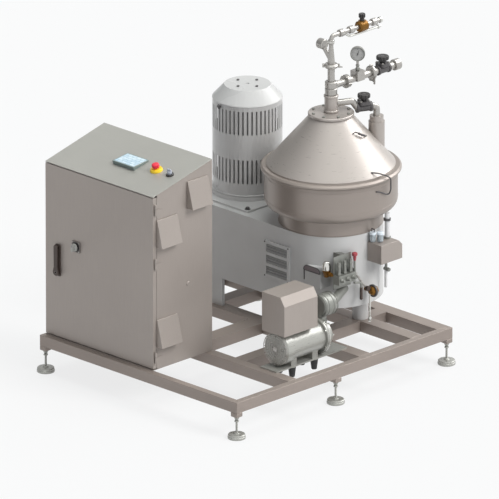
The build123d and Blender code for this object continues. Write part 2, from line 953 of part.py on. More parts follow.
def water_valve():
    """The brass valve body in the water line, with its spindle."""
    y0 = bowl_y + water_valve_distance - water_valve_length / 2
    steps = ring(0, water_valve_length, water_valve_radius, water_valve_edge)
    body = lying_turned(bowl_x, water_line_z, y0, [(0, 0), *steps, (0, water_valve_length)])
    top = water_line_z + water_valve_radius
    stem_top = top + knob_gap + water_knob_height / 2
    body += upright(bowl_x, bowl_y + water_valve_distance, water_line_z, top, union_radius)
    body += upright(bowl_x, bowl_y + water_valve_distance, top - 1, stem_top, valve_stem_radius)
    return body


def round_knob(x, y, foot_z, radius, height, stem_top):
    """A mushroom-shaped hand knob that turns on its valve's spindle."""
    neck_top = foot_z + height * (1 - knob_cap_share)
    bore = valve_stem_radius + shaft_clearance
    hub = min(bore + knob_neck, radius - ring_edge)
    outline = [
        (0, foot_z - knob_gap + knuckle_gap),
        (bore + sheet, foot_z - knob_gap + knuckle_gap),
        (hub, foot_z),
        (hub, neck_top),
        *ring(neck_top, foot_z + height, radius, ring_edge),
        (0, foot_z + height),
    ]
    return turned(outline, x, y) - upright(x, y, foot_z - knob_gap, stem_top + knuckle_gap, bore)


def round_nut():
    """A dairy union nut with its grooves, drawn flat with its foot at the origin."""
    steps = ring(0, round_nut_length, round_nut_radius, ring_edge)
    nut = turned([(0, 0), *steps, (0, round_nut_length)])
    for index in range(round_nut_grooves):
        groove = Pos(round_nut_radius + groove_outset, 0, round_nut_length / 2)
        turn = Rot(0, 0, index * 360 / round_nut_grooves)
        nut -= turn * groove * Cylinder(groove_radius, 2 * round_nut_length)
    return nut


def outlet_line():
    """The outlet pipe to the rear, with its round nut, gauge block, clamp and open end."""
    line = lying(bowl_x, outlet_z, bowl_y + column_radius, outlet_end, outlet_radius)
    line += Pos(bowl_x, bowl_y + round_nut_distance, outlet_z) * Rot(-90, 0, 0) * round_nut()
    half = gauge_block / 2
    mid = bowl_y + gauge_block_distance
    low = outlet_z - half + gauge_block_rise
    line += block(bowl_x - half, bowl_x + half, mid - half, mid + half, low, low + gauge_block)
    steps = ring(0, clamp_height, clamp_radius, clamp_edge)
    clamp_y = bowl_y + outlet_clamp_distance - clamp_height / 2
    line += lying_turned(bowl_x, outlet_z, clamp_y, [(0, 0), *steps, (0, clamp_height)])
    steps = ring(0, outlet_end_length, outlet_end_radius, ring_edge)
    end_y = outlet_end - outlet_end_length
    line += lying_turned(bowl_x, outlet_z, end_y, [(0, 0), *steps, (0, outlet_end_length)])
    bore_y = outlet_end - outlet_bore_depth
    line -= lying(bowl_x, outlet_z, bore_y, outlet_end + 1, outlet_radius - pipe_wall)
    line -= diaphragm_valve(bowl_x, bowl_y + outlet_valve_distance, outlet_z, 0)
    return line - upright(bowl_x, bowl_y, outlet_z - nut_height, outlet_z + nut_height, nut_radius)


def gauge():
    """The dial gauge on its stem, facing the operator."""
    x = bowl_x
    y = bowl_y + gauge_block_distance
    stem_foot = outlet_z + gauge_block / 2 + gauge_block_rise
    dial_z = stem_foot + gauge_rise
    stem = upright(x, y, stem_foot, dial_z, gauge_stem_radius)
    dial = turned(
        (
            (0, 0),
            (gauge_radius - bezel_width, 0),
            (gauge_radius, bezel_height),
            (gauge_radius, gauge_thickness),
            (gauge_radius - bezel_width, gauge_thickness),
            (gauge_radius - bezel_width, gauge_thickness - bezel_height),
            (0, gauge_thickness - bezel_height),
        )
    )
    facing = Rot(0, 0, gauge_turn) * Rot(90, 0, 0) * Pos(0, 0, -gauge_thickness / 2)
    return stem + Pos(x, y, dial_z) * facing * dial


def diaphragm_valve(x, y, z, turn):
    """A valve body along a line, with its square bonnet and spindle."""
    waist = valve_body_radius - valve_waist
    far = valve_body_length - valve_end_length
    outline = [
        (0, 0),
        *ring(0, valve_end_length, valve_body_radius, valve_waist / 2),
        (waist, valve_end_length),
        (waist, far),
        *ring(far, valve_body_length, valve_body_radius, valve_waist / 2),
        (0, valve_body_length),
    ]
    body = lying_turned(0, 0, -valve_body_length / 2, outline)
    bonnet = RectangleRounded(valve_bonnet_side, valve_bonnet_side, valve_bonnet_corner)
    body += Pos(0, 0, valve_body_radius - valve_bonnet_height / 2) * extrude(bonnet, valve_bonnet_height)
    top = valve_body_radius + valve_bonnet_height / 2
    stem_top = top + knob_gap + valve_knob_height / 2
    body += Pos(0, 0, (top + stem_top) / 2) * Cylinder(valve_stem_radius, stem_top - top)
    return Pos(x, y, z) * Rot(0, 0, turn) * body


def valve_knob(x, y, z):
    """The hand knob of a diaphragm valve."""
    foot_z = z + valve_body_radius + valve_bonnet_height / 2 + knob_gap
    return round_knob(x, y, foot_z, valve_knob_radius, valve_knob_height, foot_z + valve_knob_height / 2)


def return_way():
    """The direction and length of the return line, from the column to the nozzle."""
    length = hypot(nozzle_x, nozzle_y)
    return nozzle_x / length, nozzle_y / length, length


def return_point(distance, z):
    """A point over the return line's plan."""
    dx, dy, _ = return_way()
    return bowl_x + dx * distance, bowl_y + dy * distance, z


def return_line():
    """The pipe that leaves the collar, drops past the flange and turns down into the nozzle."""
    _, _, length = return_way()
    high = flange_top + return_start
    points = (
        return_point(collar_outer - ring_edge, high),
        return_point(length * return_bend_share, high),
        return_point(length * return_drop_share, return_low),
        return_point(length, return_low),
        return_point(length, nozzle_top),
    )
    line = piped(points, return_radius, return_bend_radius)
    line -= return_valve()
    return line - upright(bowl_x, bowl_y, flange_top, collar_top, collar_outer)


def return_valve():
    """The valve in the return line, turned in line with it."""
    dx, dy, length = return_way()
    return diaphragm_valve(*return_point(length * return_valve_share, return_low), -degrees(atan2(dx, dy)))


def nozzle():
    """The upright stub on the hood that the return line ends in."""
    x = bowl_x + nozzle_x
    y = bowl_y + nozzle_y
    outline = (
        (0, rim_top),
        (nozzle_radius, rim_top),
        (nozzle_radius, nozzle_top - nozzle_cap_height),
        (nozzle_radius - nozzle_step, nozzle_top - nozzle_cap_height),
        (nozzle_radius - nozzle_step, nozzle_top),
        (0, nozzle_top),
    )
    return turned(outline, x, y)


def side_box():
    """The control box on the bowl casing's right, with a bevelled rear edge."""
    y1 = box_y + box_depth
    outline = (
        (box_y, box_bottom),
        (y1, box_bottom),
        (y1, box_top - box_bevel),
        (y1 - box_bevel, box_top),
        (box_y, box_top),
    )
    box = side_profile(outline, box_back_x, box_x)
    return box - housing_end()


def filter_bowls():
    """Two clear bowls that stand on the side box."""
    bowls = []
    for index in range(2):
        x = box_x - filter_inset_x + index * filter_step
        y = box_y + filter_inset_y + index * filter_step
        bowls.append(upright(x, y, box_top, box_top + filter_height, filter_radius))
    return Compound(children=bowls)


def water_unit():
    """The bracket with its manifold and stems, the small brass regulator and the round strainer."""
    back = panel_x + panel_thickness
    mid = panel_y + panel_length / 2
    top = panel_bottom + panel_height
    panel = block(panel_x, back, panel_y, panel_y + panel_length, panel_bottom, top)
    arm = block(bowl_x, panel_x, mid, mid + panel_arm_width, panel_bottom + sheet, top - sheet)
    low = panel_bottom + manifold_rise
    high = low + manifold_height
    manifold = block(back, back + manifold_depth, panel_y + sheet, panel_y + panel_length - sheet, low, high)
    for index in range(stem_count):
        y = panel_y + panel_length * (2 * index + 1) / 2 / stem_count
        manifold += upright(back + manifold_depth / 2, y, high, high + stem_height, stem_radius)
    z0 = low + manifold_height / 2 - regulator_height / 2 + regulator_lift
    dome_foot = z0 + regulator_height
    dome_top = dome_foot + dome_height
    regulator = turned(
        (
            (0, z0),
            (regulator_radius - ring_edge, z0),
            (regulator_radius, z0 + ring_edge),
            (regulator_radius, dome_foot),
            (dome_radius, dome_foot),
            (dome_radius, dome_top - dome_shoulder),
            (dome_top_radius, dome_top),
            (0, dome_top),
        ),
        regulator_x,
        regulator_y,
    )
    link = Pos(0, regulator_y, z0 + regulator_height / 2) * Rot(0, 90, 0)
    link_length = panel_x - regulator_x
    regulator += Pos(panel_x - link_length / 2, 0, 0) * link * Cylinder(stem_radius, link_length)
    strainer = lying(strainer_x, strainer_z, bowl_y - strainer_length, bowl_y, strainer_radius)
    spigot = Pos((bowl_x + strainer_x) / 2, bowl_y - strainer_length / 2, strainer_z) * Rot(0, 90, 0)
    strainer += spigot * Cylinder(spigot_radius, strainer_x - bowl_x)
    return {
        "water_manifold": panel + arm + manifold - housing_end(),
        "water_regulator": regulator,
        "strainer": strainer - housing_end(),
    }


def hatch():
    """The round-cornered cover box on the housing's round end."""
    frame = Pos(0, hatch_height / 2) * Rectangle(hatch_width, hatch_height)
    middle = hatch_height / 2 - hatch_corner
    frame &= Pos(0, middle) * RectangleRounded(hatch_width, hatch_height + 2 * hatch_corner, hatch_corner)
    cover = extrude(Plane.XZ * frame, housing_radius - hatch_shortfall)
    return Pos(bowl_x + hatch_x, bowl_y, hatch_z) * cover - housing_end()


def pump():
    """The pump's base plate, motor with feet and flange, control box, head and pipes."""
    plate_top = frame_top + pump_plate_thickness
    half = pump_plate_width / 2
    y1 = middle_cross_y + cross_rail_width / 2
    y0 = front_cross_y + front_cross_width - pump_plate_landing
    plate = block(pump_x - half, pump_x + half, y0, y1, frame_top, plate_top)
    buffer = (
        (0, frame_top),
        (buffer_radius, frame_top),
        (buffer_foot_radius, frame_top - buffer_height),
        (0, frame_top - buffer_height),
    )
    for place in buffer_places:
        for side in (-1, 1):
            plate += turned(buffer, pump_x + side * buffer_offset, pump_front + place)
    flange_y0 = pump_flange_y - pump_flange_thickness
    outline = [
        (0, 0),
        (pump_radius - fan_cover_edge, 0),
        (pump_radius, fan_cover_edge),
        (pump_radius, fan_cover_length),
        (barrel_radius, fan_cover_length),
        (barrel_radius, pump_length - pump_flange_thickness),
        *ring(pump_length - pump_flange_thickness, pump_length, pump_flange_radius, ring_edge),
        (0, pump_length),
    ]
    barrel = lying_turned(pump_x, pump_z, pump_front, outline)
    half_foot = pump_foot_width / 2
    for y in (pump_front + fan_cover_length, flange_y0 - 2 * pump_foot_depth):
        barrel += block(pump_x - half_foot, pump_x + half_foot, y, y + pump_foot_depth, plate_top, pump_z)
    x0 = pump_x - pump_box_width / 2
    x1 = pump_x + pump_box_width / 2
    outline = (
        (x0, pump_box_bottom),
        (x1, pump_box_bottom),
        (x1, pump_box_top - pump_box_bevel_z),
        (x1 - pump_box_bevel_x, pump_box_top),
        (x0, pump_box_top),
    )
    face = Plane.XZ * make_face(Polyline(*outline, close=True))
    box = Pos(0, pump_front - pump_box_lead, 0) * extrude(face, pump_box_depth, dir=(0, 1, 0))
    steps = ring(0, pump_head_length, pump_head_radius, fan_cover_edge)
    head = lying_turned(pump_x, pump_z, pump_flange_y, [(0, 0), *steps, (0, pump_head_length)])
    head_mid = pump_flange_y + pump_head_length / 2
    points = (
        (pump_x, head_mid, pump_z + pump_head_radius - fan_cover_edge),
        (pump_x, head_mid, delivery_z),
        (pump_x, pump_flange_y + delivery_lead, delivery_z),
        (bowl_x + delivery_end_x, bowl_y - delivery_end_y, delivery_z),
    )
    pipe = piped(points, riser_radius, riser_bend_radius)
    sleeve = ring(0, sleeve_length, sleeve_radius, fan_cover_edge)
    sleeve_y = pump_flange_y + sleeve_gap
    pipe += lying_turned(pump_x, delivery_z, sleeve_y, [(0, 0), *sleeve, (0, sleeve_length)])
    pipe -= lying(pump_x, pump_z, pump_flange_y, pump_flange_y + pump_head_length, pump_head_radius)
    pipe -= housing_end()
    return {
        "pump_plate": plate,
        "pump_motor": barrel,
        "pump_control_box": box,
        "pump_head": head,
        "pump_pipe": pipe,
    }


def build():
    """Every piece by its node name."""
    pieces = dict(frame_rails())
    pieces["cross_rail_front"] = cross_rail(front_cross_y, front_cross_width)
    pieces["cross_rail_middle"] = cross_rail(middle_cross_y, cross_rail_width)
    pieces["cross_rail_rear"] = cross_rail(rear_cross_y, cross_rail_width)
    front_bay = (front_cross_y + front_cross_width, middle_cross_y)
    middle_bay = (middle_cross_y + cross_rail_width, rear_cross_y)
    rear_bay = (rear_cross_y + cross_rail_width, frame_depth - back_rail_width)
    left = (left_beam_x, left_beam_width)
    centre = (centre_beam_x, centre_beam_width)
    right = (right_beam_x, right_beam_width)
    pieces["beams_front"] = beams(((*centre, front_bay), (*right, front_bay)))
    pieces["beams_middle"] = beams(((*left, middle_bay), (*right, middle_bay)))
    pieces["beams_rear"] = beams(((*left, rear_bay), (*right, rear_bay)))
    pieces["levelling_feet"] = feet()
    pieces.update(cabinet())
    pieces["cabinet_door"] = door()
    pieces["door_hinges"] = hinges()
    pieces.update(door_fittings())
    pieces.update(desk_fittings())
    pieces["vent_hoods"] = vent_hoods()
    pieces["drive_housing"] = housing_solid()
    pieces["housing_legs"] = housing_legs()
    pieces["drive_louvre"] = louvre()
    pieces.update(motor())
    pieces.update(bowl_casing())
    pieces.update(hood())
    pieces["feed_pipe"] = feed_pipe()
    pieces["water_line"] = water_line()
    pieces["water_valve"] = water_valve()
    knob_z = water_line_z + water_valve_radius + knob_gap
    stem_top = knob_z + water_knob_height / 2
    pieces["water_valve_knob"] = round_knob(
        bowl_x, bowl_y + water_valve_distance, knob_z, water_knob_radius, water_knob_height, stem_top
    )
    pieces["outlet_line"] = outlet_line()
    pieces["pressure_gauge"] = gauge()
    valve_y = bowl_y + outlet_valve_distance
    pieces["outlet_valve"] = diaphragm_valve(bowl_x, valve_y, outlet_z, 0)
    pieces["outlet_valve_knob"] = valve_knob(bowl_x, valve_y, outlet_z)
    pieces["return_line"] = return_line()
    pieces["return_valve"] = return_valve()
    pieces["return_valve_knob"] = valve_knob(*return_point(return_way()[2] * return_valve_share, return_low))
    pieces["hood_nozzle"] = nozzle() - pieces["hood_cone"]
    pieces["side_box"] = side_box()
    pieces["filter_bowls"] = filter_bowls()
    pieces.update(water_unit())
    pieces["housing_hatch"] = hatch()
    pieces.update(pump())
    return pieces


def main():
    """Build the pieces and write one file for each."""
    os.makedirs("parts", exist_ok=True)
    for name, shape in build().items():
        save(name, shape)


main()
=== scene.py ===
"""Looks for the skid-mounted skimming centrifuge: a finish for each solid, and the finer pieces on them.

Metres, in the row frame: +X along the front of the skid, +Y towards the rear, +Z up. The pieces take their
places from the boxes of the solids that carry them.
"""

import json
from math import atan2, cos, degrees, hypot, pi, radians, sin, tau

import bmesh
import bpy
from bpy.props import FloatProperty, FloatVectorProperty, IntProperty, PointerProperty
from mathutils import Matrix, Vector


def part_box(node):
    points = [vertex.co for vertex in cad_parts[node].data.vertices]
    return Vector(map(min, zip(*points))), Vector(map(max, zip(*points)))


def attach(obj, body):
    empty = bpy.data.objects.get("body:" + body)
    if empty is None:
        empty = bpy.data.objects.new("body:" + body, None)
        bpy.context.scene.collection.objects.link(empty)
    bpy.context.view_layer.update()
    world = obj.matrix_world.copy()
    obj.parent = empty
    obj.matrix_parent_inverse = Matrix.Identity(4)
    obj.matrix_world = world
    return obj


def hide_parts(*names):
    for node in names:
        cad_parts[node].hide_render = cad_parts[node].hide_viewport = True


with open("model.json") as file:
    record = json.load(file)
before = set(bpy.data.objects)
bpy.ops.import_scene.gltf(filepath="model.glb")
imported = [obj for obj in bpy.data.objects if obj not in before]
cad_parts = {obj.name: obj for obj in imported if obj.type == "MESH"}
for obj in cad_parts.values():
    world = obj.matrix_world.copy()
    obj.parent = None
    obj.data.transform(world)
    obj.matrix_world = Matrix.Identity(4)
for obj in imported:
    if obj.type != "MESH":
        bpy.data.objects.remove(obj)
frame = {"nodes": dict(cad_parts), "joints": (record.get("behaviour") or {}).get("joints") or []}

bl_info = {
    "name": "Skimming centrifuge",
    "version": (1, 0, 0),
    "blender": (4, 5, 0),
    "location": "View3D > Sidebar > Centrifuge",
    "description": "Finishes and fine pieces for a skid-mounted skimming centrifuge",
    "category": "Object",
}

SKID = "skid"
SHARP_ANGLE = radians(35)
# The sheet of the desk
SHEET = 0.003
# Degrees from the side of the hood that faces the camera to +X
CAMERA_SIDE = 45.16
# The hood's radius at its foot and at its head, and the upright rim at its foot
CONE_BASE = 0.340
CONE_TOP = 0.112
CONE_SKIRT = 0.008


def colour(name, description, value):
    """A colour that a user can change."""
    return FloatVectorProperty(
        name=name, description=description, default=value, subtype="COLOR", size=3, min=0, max=1
    )


def length(name, description, value):
    """A length in metres that a user can change."""
    return FloatProperty(name=name, description=description, default=value, unit="LENGTH", min=0)


def number(name, description, value, unit="NONE"):
    """A number of either sign that a user can change."""
    return FloatProperty(name=name, description=description, default=value, unit=unit)


def count(name, description, value):
    """A whole number that a user can change."""
    return IntProperty(name=name, description=description, default=value, min=1)


class FinishSettings(bpy.types.PropertyGroup):
    """Colours of the finishes."""

    frame_steel: colour("Frame steel", "Brushed tube of the skid", (0.30, 0.255, 0.23))
    cabinet_steel: colour("Cabinet steel", "Satin sheet of the cabinet", (0.36, 0.32, 0.295))
    desk_steel: colour("Desk steel", "Satin sheet of the sloping desk", (0.37, 0.365, 0.34))
    bowl_steel: colour("Bowl steel", "Satin casing round the bowl", (0.32, 0.28, 0.255))
    hood_steel: colour("Hood steel", "Polished cone over the bowl", (0.43, 0.395, 0.37))
    pipe_steel: colour("Pipe steel", "Polished pipes and nuts", (0.42, 0.405, 0.385))
    drive_paint: colour("Drive enamel", "Grey enamel of the drive", (0.55, 0.55, 0.55))
    pump_steel: colour("Pump steel", "Satin pump and its motor", (0.40, 0.40, 0.375))
    valve_enamel: colour("Valve enamel", "Dark enamel of the valve bodies", (0.075, 0.07, 0.072))
    black_plastic: colour("Black plastic", "Hand knobs and small controls", (0.034, 0.032, 0.032))
    handle_plastic: colour("Handle plastic", "Dark swing handle on the door", (0.058, 0.040, 0.033))
    grey_plastic: colour("Grey plastic", "Main switch and small fittings", (0.42, 0.42, 0.40))
    stop_red: colour("Stop red", "Mushroom of the stop button", (0.75, 0.03, 0.06))
    collar_yellow: colour("Collar yellow", "Collar of the stop button", (0.90, 0.62, 0.03))
    brass: colour("Brass", "Cast brass of the small fittings", (0.22, 0.10, 0.012))
    bowl_glass: colour("Clear bowl", "Clear bowls of the air filters", (0.86, 0.93, 0.98))


class DeskSettings(bpy.types.PropertyGroup):
    """Sizes of what stands on the desk and on the door."""

    screen_height: length("Screen height", "Display's size up the desk", 0.115)
    screen_front: length("Screen front", "Display's rise over the desk at its front", 0.019)
    screen_back: length("Screen back", "Display's rise over the desk at its back", 0.005)
    bezel: length("Bezel width", "Frame round the display", 0.007)
    bezel_edge: length("Bezel edge", "Rounding of the display's frame", 0.004)
    mushroom_flutes: count("Stop flutes", "Grip flutes round the stop button", 12)
    handle_edge: length("Handle edge", "Rounding of the swing handle", 0.004)
    handle_foot: length("Handle foot", "Radius of the handle's round lower end", 0.020)
    handle_half: length("Handle half width", "Half the width of the handle's grip", 0.0135)
    handle_pivot: length("Handle pivot", "Pivot's height over the handle's lower end", 0.016)
    switch_plate: length("Switch plate", "Side of the main switch's square plate", 0.060)
    plug_radius: length("Plug radius", "Blanking plug on the cabinet's side", 0.013)
    foot_disc: length("Foot disc", "Radius of a levelling foot's disc", 0.048)


class DriveSettings(bpy.types.PropertyGroup):
    """Sizes of the trim on the drive housing and the motor."""

    bead_radius: length("Bead radius", "Rolled bead at the foot of the motor cover", 0.005)
    cap_bolts: count("Cap bolts", "Bolts on the motor cap", 4)
    bolt_radius: length("Bolt radius", "Hexagon bolts of the drive", 0.008)
    eye_radius: length("Eye radius", "Lifting eye on the motor cover", 0.013)
    hatch_corner: length("Hatch corner", "Rounding of the hatch", 0.028)
    hatch_band: length("Hatch band", "Dark band over the hatch", 0.028)
    blades: count("Blades", "Slanted blades in each bay of the louvre", 3)
    blade: length("Blade thickness", "Sheet of the louvre's blades", 0.0025)
    blade_depth: length("Blade depth", "Front to back of a blade", 0.0065)
    blade_rise: length("Blade rise", "Rise of a blade to its back", 0.007)


class BowlSettings(bpy.types.PropertyGroup):
    """Sizes of the trim on the casing and the hood."""

    flange_bolts: count("Flange bolts", "Bolts round the hood's flange", 8)
    rod_radius: length("Rod radius", "Bent rods of the grip and the latch", 0.004)
    grip_radius: length("Grip radius", "Sleeve on the hood's grip", 0.0065)
    seam_depth: length("Seam depth", "Standing height of the welded seams", 0.0012)


class PipeSettings(bpy.types.PropertyGroup):
    """Sizes of the fittings along the pipes."""

    knob_flutes: count("Knob flutes", "Flutes round each hand knob", 10)
    flute_depth: length("Flute depth", "Depth of the knob's flutes", 0.0035)
    wing_span: length("Wing span", "Wing nut of a pipe clamp", 0.034)
    small_bolt: length("Small bolt", "Radius of the bonnet's bolts", 0.005)
    gauge_ticks: count("Gauge ticks", "Marks round the dial", 21)
    drain_radius: length("Drain radius", "Thin drain pipes", 0.006)


class PumpSettings(bpy.types.PropertyGroup):
    """Sizes of the trim on the pump set."""

    grille_rings: count("Grille rings", "Rings of the fan grille", 6)
    grille_spokes: count("Grille spokes", "Spokes of the fan grille", 24)
    wire_radius: length("Wire radius", "Wire of the fan grille", 0.0018)
    sleeve_radius: length("Sleeve radius", "Wide sleeve of the delivery pipe", 0.060)
    flange_bolts: count("Flange bolts", "Bolts round the pump's flange", 6)


class StageSettings(bpy.types.PropertyGroup):
    """The floor, the lamps and the camera."""

    view_width: length("View width", "Width of what the camera sees", 2.626)
    camera_distance: length("Camera distance", "Distance of the long lens", 109.4)
    aim_right: number("Aim right", "Aim along the view's right", -0.0293, "LENGTH")
    aim_up: number("Aim up", "Aim along the view's up", 0.6052, "LENGTH")
    azimuth: number("Azimuth", "Camera's turn round the object, in degrees", 44.84)
    elevation: number("Elevation", "Camera's height angle, in degrees", 20.08)
    ambient: number("Ambient", "Light from all round", 0.42)
    key_energy: number("Key light", "Strength of the key lamp", 2.6)
    fill_energy: number("Fill light", "Strength of the fill lamp", 0.05)
    top_energy: number("Top light", "Strength of the lamp overhead", 1.3)
    shine_energy: number("Shine", "Strength of the lamp that shows only in gloss", 2.5)
    floor_radius: length("Floor radius", "Radius of the plain floor", 60.0)


class Box:
    """The box of one solid: its corners, middle and size."""

    def __init__(self, node):
        self.lo, self.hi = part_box(node)
        self.mid = (self.lo + self.hi) / 2
        self.size = self.hi - self.lo


class Shape:
    """A mesh in the making. Each part is set in place and takes the current finish number."""

    def __init__(self):
        self.mesh = bmesh.new()
        self.finish = 0

    def add(self, points, faces, place=None):
        """Add points and faces, moved to a place."""
        place = place or Matrix.Identity(4)
        made = [self.mesh.verts.new(place @ Vector(p)) for p in points]
        for corners in faces:
            if len(set(corners)) < 3:
                continue
            face = self.mesh.faces.new([made[i] for i in corners])
            face.smooth = True
            face.material_index = self.finish
        return made

    def lathe(self, profile, place=None, segments=48, ripple=None):
        """Turn a profile of radius and height about Z. Ends on the axis are closed."""
        points = []
        rows = []
        for radius, height in profile:
            if radius < 1e-7:
                rows.append([len(points)] * segments)
                points.append((0, 0, height))
                continue
            row = []
            for step in range(segments):
                angle = tau * step / segments
                reach = radius + (ripple(angle, radius) if ripple else 0)
                row.append(len(points))
                points.append((reach * cos(angle), reach * sin(angle), height))
            rows.append(row)
        faces = []
        for low, high in zip(rows, rows[1:]):
            for step in range(segments):
                after = (step + 1) % segments
                corners = [low[step], low[after], high[after], high[step]]
                faces.append([c for i, c in enumerate(corners) if c != corners[i - 1]])
        return self.add(points, faces, place)

    def ring(self, outer, inner, low, high, place=None, segments=48):
        """A flat ring with square edges."""
        profile = [(inner, low), (outer, low), (outer, high), (inner, high), (inner, low)]
        return self.lathe(profile, place, segments)

    def torus(self, radius, thickness, place=None, segments=64, sides=10):
        """A round ring of round wire."""
        profile = []
        for step in range(sides + 1):
            angle = tau * step / sides
            profile.append((radius + thickness * cos(angle), thickness * sin(angle)))
        return self.lathe(profile, place, segments)

    def prism(self, outline, low, high, place=None, edge=0.0):
        """A prism along Z from an outline in X and Y, with bevelled ends."""
        middle = sum((Vector(p) for p in outline), Vector((0, 0))) / len(outline)
        levels = [(low, 0), (high, 0)]
        if edge:
            levels = [(low, edge), (low + edge, 0), (high - edge, 0), (high, edge)]
        points = []
        for height, inset in levels:
            for corner in outline:
                out = Vector(corner) - middle
                near = out * (1 - inset / max(out.length, 1e-6))
                points.append((*(middle + near), height))
        n = len(outline)
        faces = [list(reversed(range(n))), list(range(len(points) - n, len(points)))]
        for row in range(len(levels) - 1):
            for i in range(n):
                j = (i + 1) % n
                faces.append([row * n + i, row * n + j, (row + 1) * n + j, (row + 1) * n + i])
        return self.add(points, faces, place)

    def block(self, size, place=None, edge=0.001):
        """A rectangular block about the origin, with bevelled edges all round."""
        return self.prism(rounded(size[0], size[1], edge, 2), -size[2] / 2, size[2] / 2, place, edge)

    def hexagon(self, radius, height, place=None):
        """A hexagon head or nut on its seat, with its corners turned off."""
        outline = [(radius * cos(tau * i / 6), radius * sin(tau * i / 6)) for i in range(6)]
        return self.prism(outline, 0, height, place, radius * 0.12)

    def tube(self, points, radius, place=None, sides=16):
        """A round bar through points, with flat ends and its frames carried along the path."""
        path = [Vector(p) for p in points]
        normal = None
        rows = []
        mesh_points = []
        for index, point in enumerate(path):
            ahead = path[min(index + 1, len(path) - 1)] - path[max(index - 1, 0)]
            ahead.normalize()
            if normal is None:
                normal = ahead.orthogonal().normalized()
            normal = (normal - ahead * normal.dot(ahead)).normalized()
            side = ahead.cross(normal)
            row = []
            for step in range(sides):
                angle = tau * step / sides
                row.append(len(mesh_points))
                mesh_points.append(point + (normal * cos(angle) + side * sin(angle)) * radius)
            rows.append(row)
        faces = []
        for low, high in zip(rows, rows[1:]):
            for step in range(sides):
                after = (step + 1) % sides
                faces.append([low[step], low[after], high[after], high[step]])
        faces += [list(reversed(rows[0])), rows[-1]]
        return self.add(mesh_points, faces, place)

    def piece(self, name, finishes, body=SKID, replaces=()):
        """Make the object from finish names, with its sharp edges marked, and let it ride on its body."""
        bmesh.ops.remove_doubles(self.mesh, verts=self.mesh.verts, dist=1e-6)
        bmesh.ops.recalc_face_normals(self.mesh, faces=self.mesh.faces)
        for edge in self.mesh.edges:
            if len(edge.link_faces) == 2 and edge.calc_face_angle(0) > SHARP_ANGLE:
                edge.smooth = False
        data = bpy.data.meshes.new(name)
        self.mesh.to_mesh(data)
        self.mesh.free()
        for finish_name in finishes:
            data.materials.append(finish(finish_name))
        made = bpy.data.objects.new(name, data)
        bpy.context.scene.collection.objects.link(made)
        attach(made, body)
        if replaces:
            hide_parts(*replaces)


def rounded(width, depth, radius, steps=4):
    """The outline of a rectangle with round corners."""
    points = []
    corners = ((1, 1, 0), (-1, 1, 1), (-1, -1, 2), (1, -1, 3))
    for sx, sy, quarter in corners:
        for step in range(steps + 1):
            angle = pi / 2 * (quarter + step / steps)
            x = sx * (width / 2 - radius) + radius * cos(angle)
            y = sy * (depth / 2 - radius) + radius * sin(angle)
            points.append((x, y))
    return points


def curved(points, bend, steps=6):
    """A path of straight runs with each corner rounded."""
    path = [Vector(p) for p in points]
    out = [path[0]]
    for before, corner, after in zip(path, path[1:], path[2:]):
        back = (before - corner).normalized()
        ahead = (after - corner).normalized()
        reach = min(bend, (before - corner).length * 0.49, (after - corner).length * 0.49)
        start = corner + back * reach
        end = corner + ahead * reach
        for step in range(steps + 1):
            t = step / steps
            out.append(start * (1 - t) ** 2 + corner * 2 * t * (1 - t) + end * t ** 2)
    out.append(path[-1])
    return out


def at(x, y, z):
    """A place."""
    return Matrix.Translation((x, y, z))


def turn(angle, axis):
    """A turn about an axis, in degrees."""
    return Matrix.Rotation(radians(angle), 4, axis)


def four_corners(half_x, half_y):
    """The four corners of a rectangle about the origin."""
    return [(sx * half_x, sy * half_y) for sx in (-1, 1) for sy in (-1, 1)]


def joined(nodes, links, operation, one, other):
    """A math node on two values, of which the second may be a number."""
    made = nodes.new("ShaderNodeMath")
    made.operation = operation
    links.new(one, made.inputs[0])
    if isinstance(other, float):
        made.inputs[1].default_value = other
    else:
        links.new(other, made.inputs[1])
    return made.outputs[0]


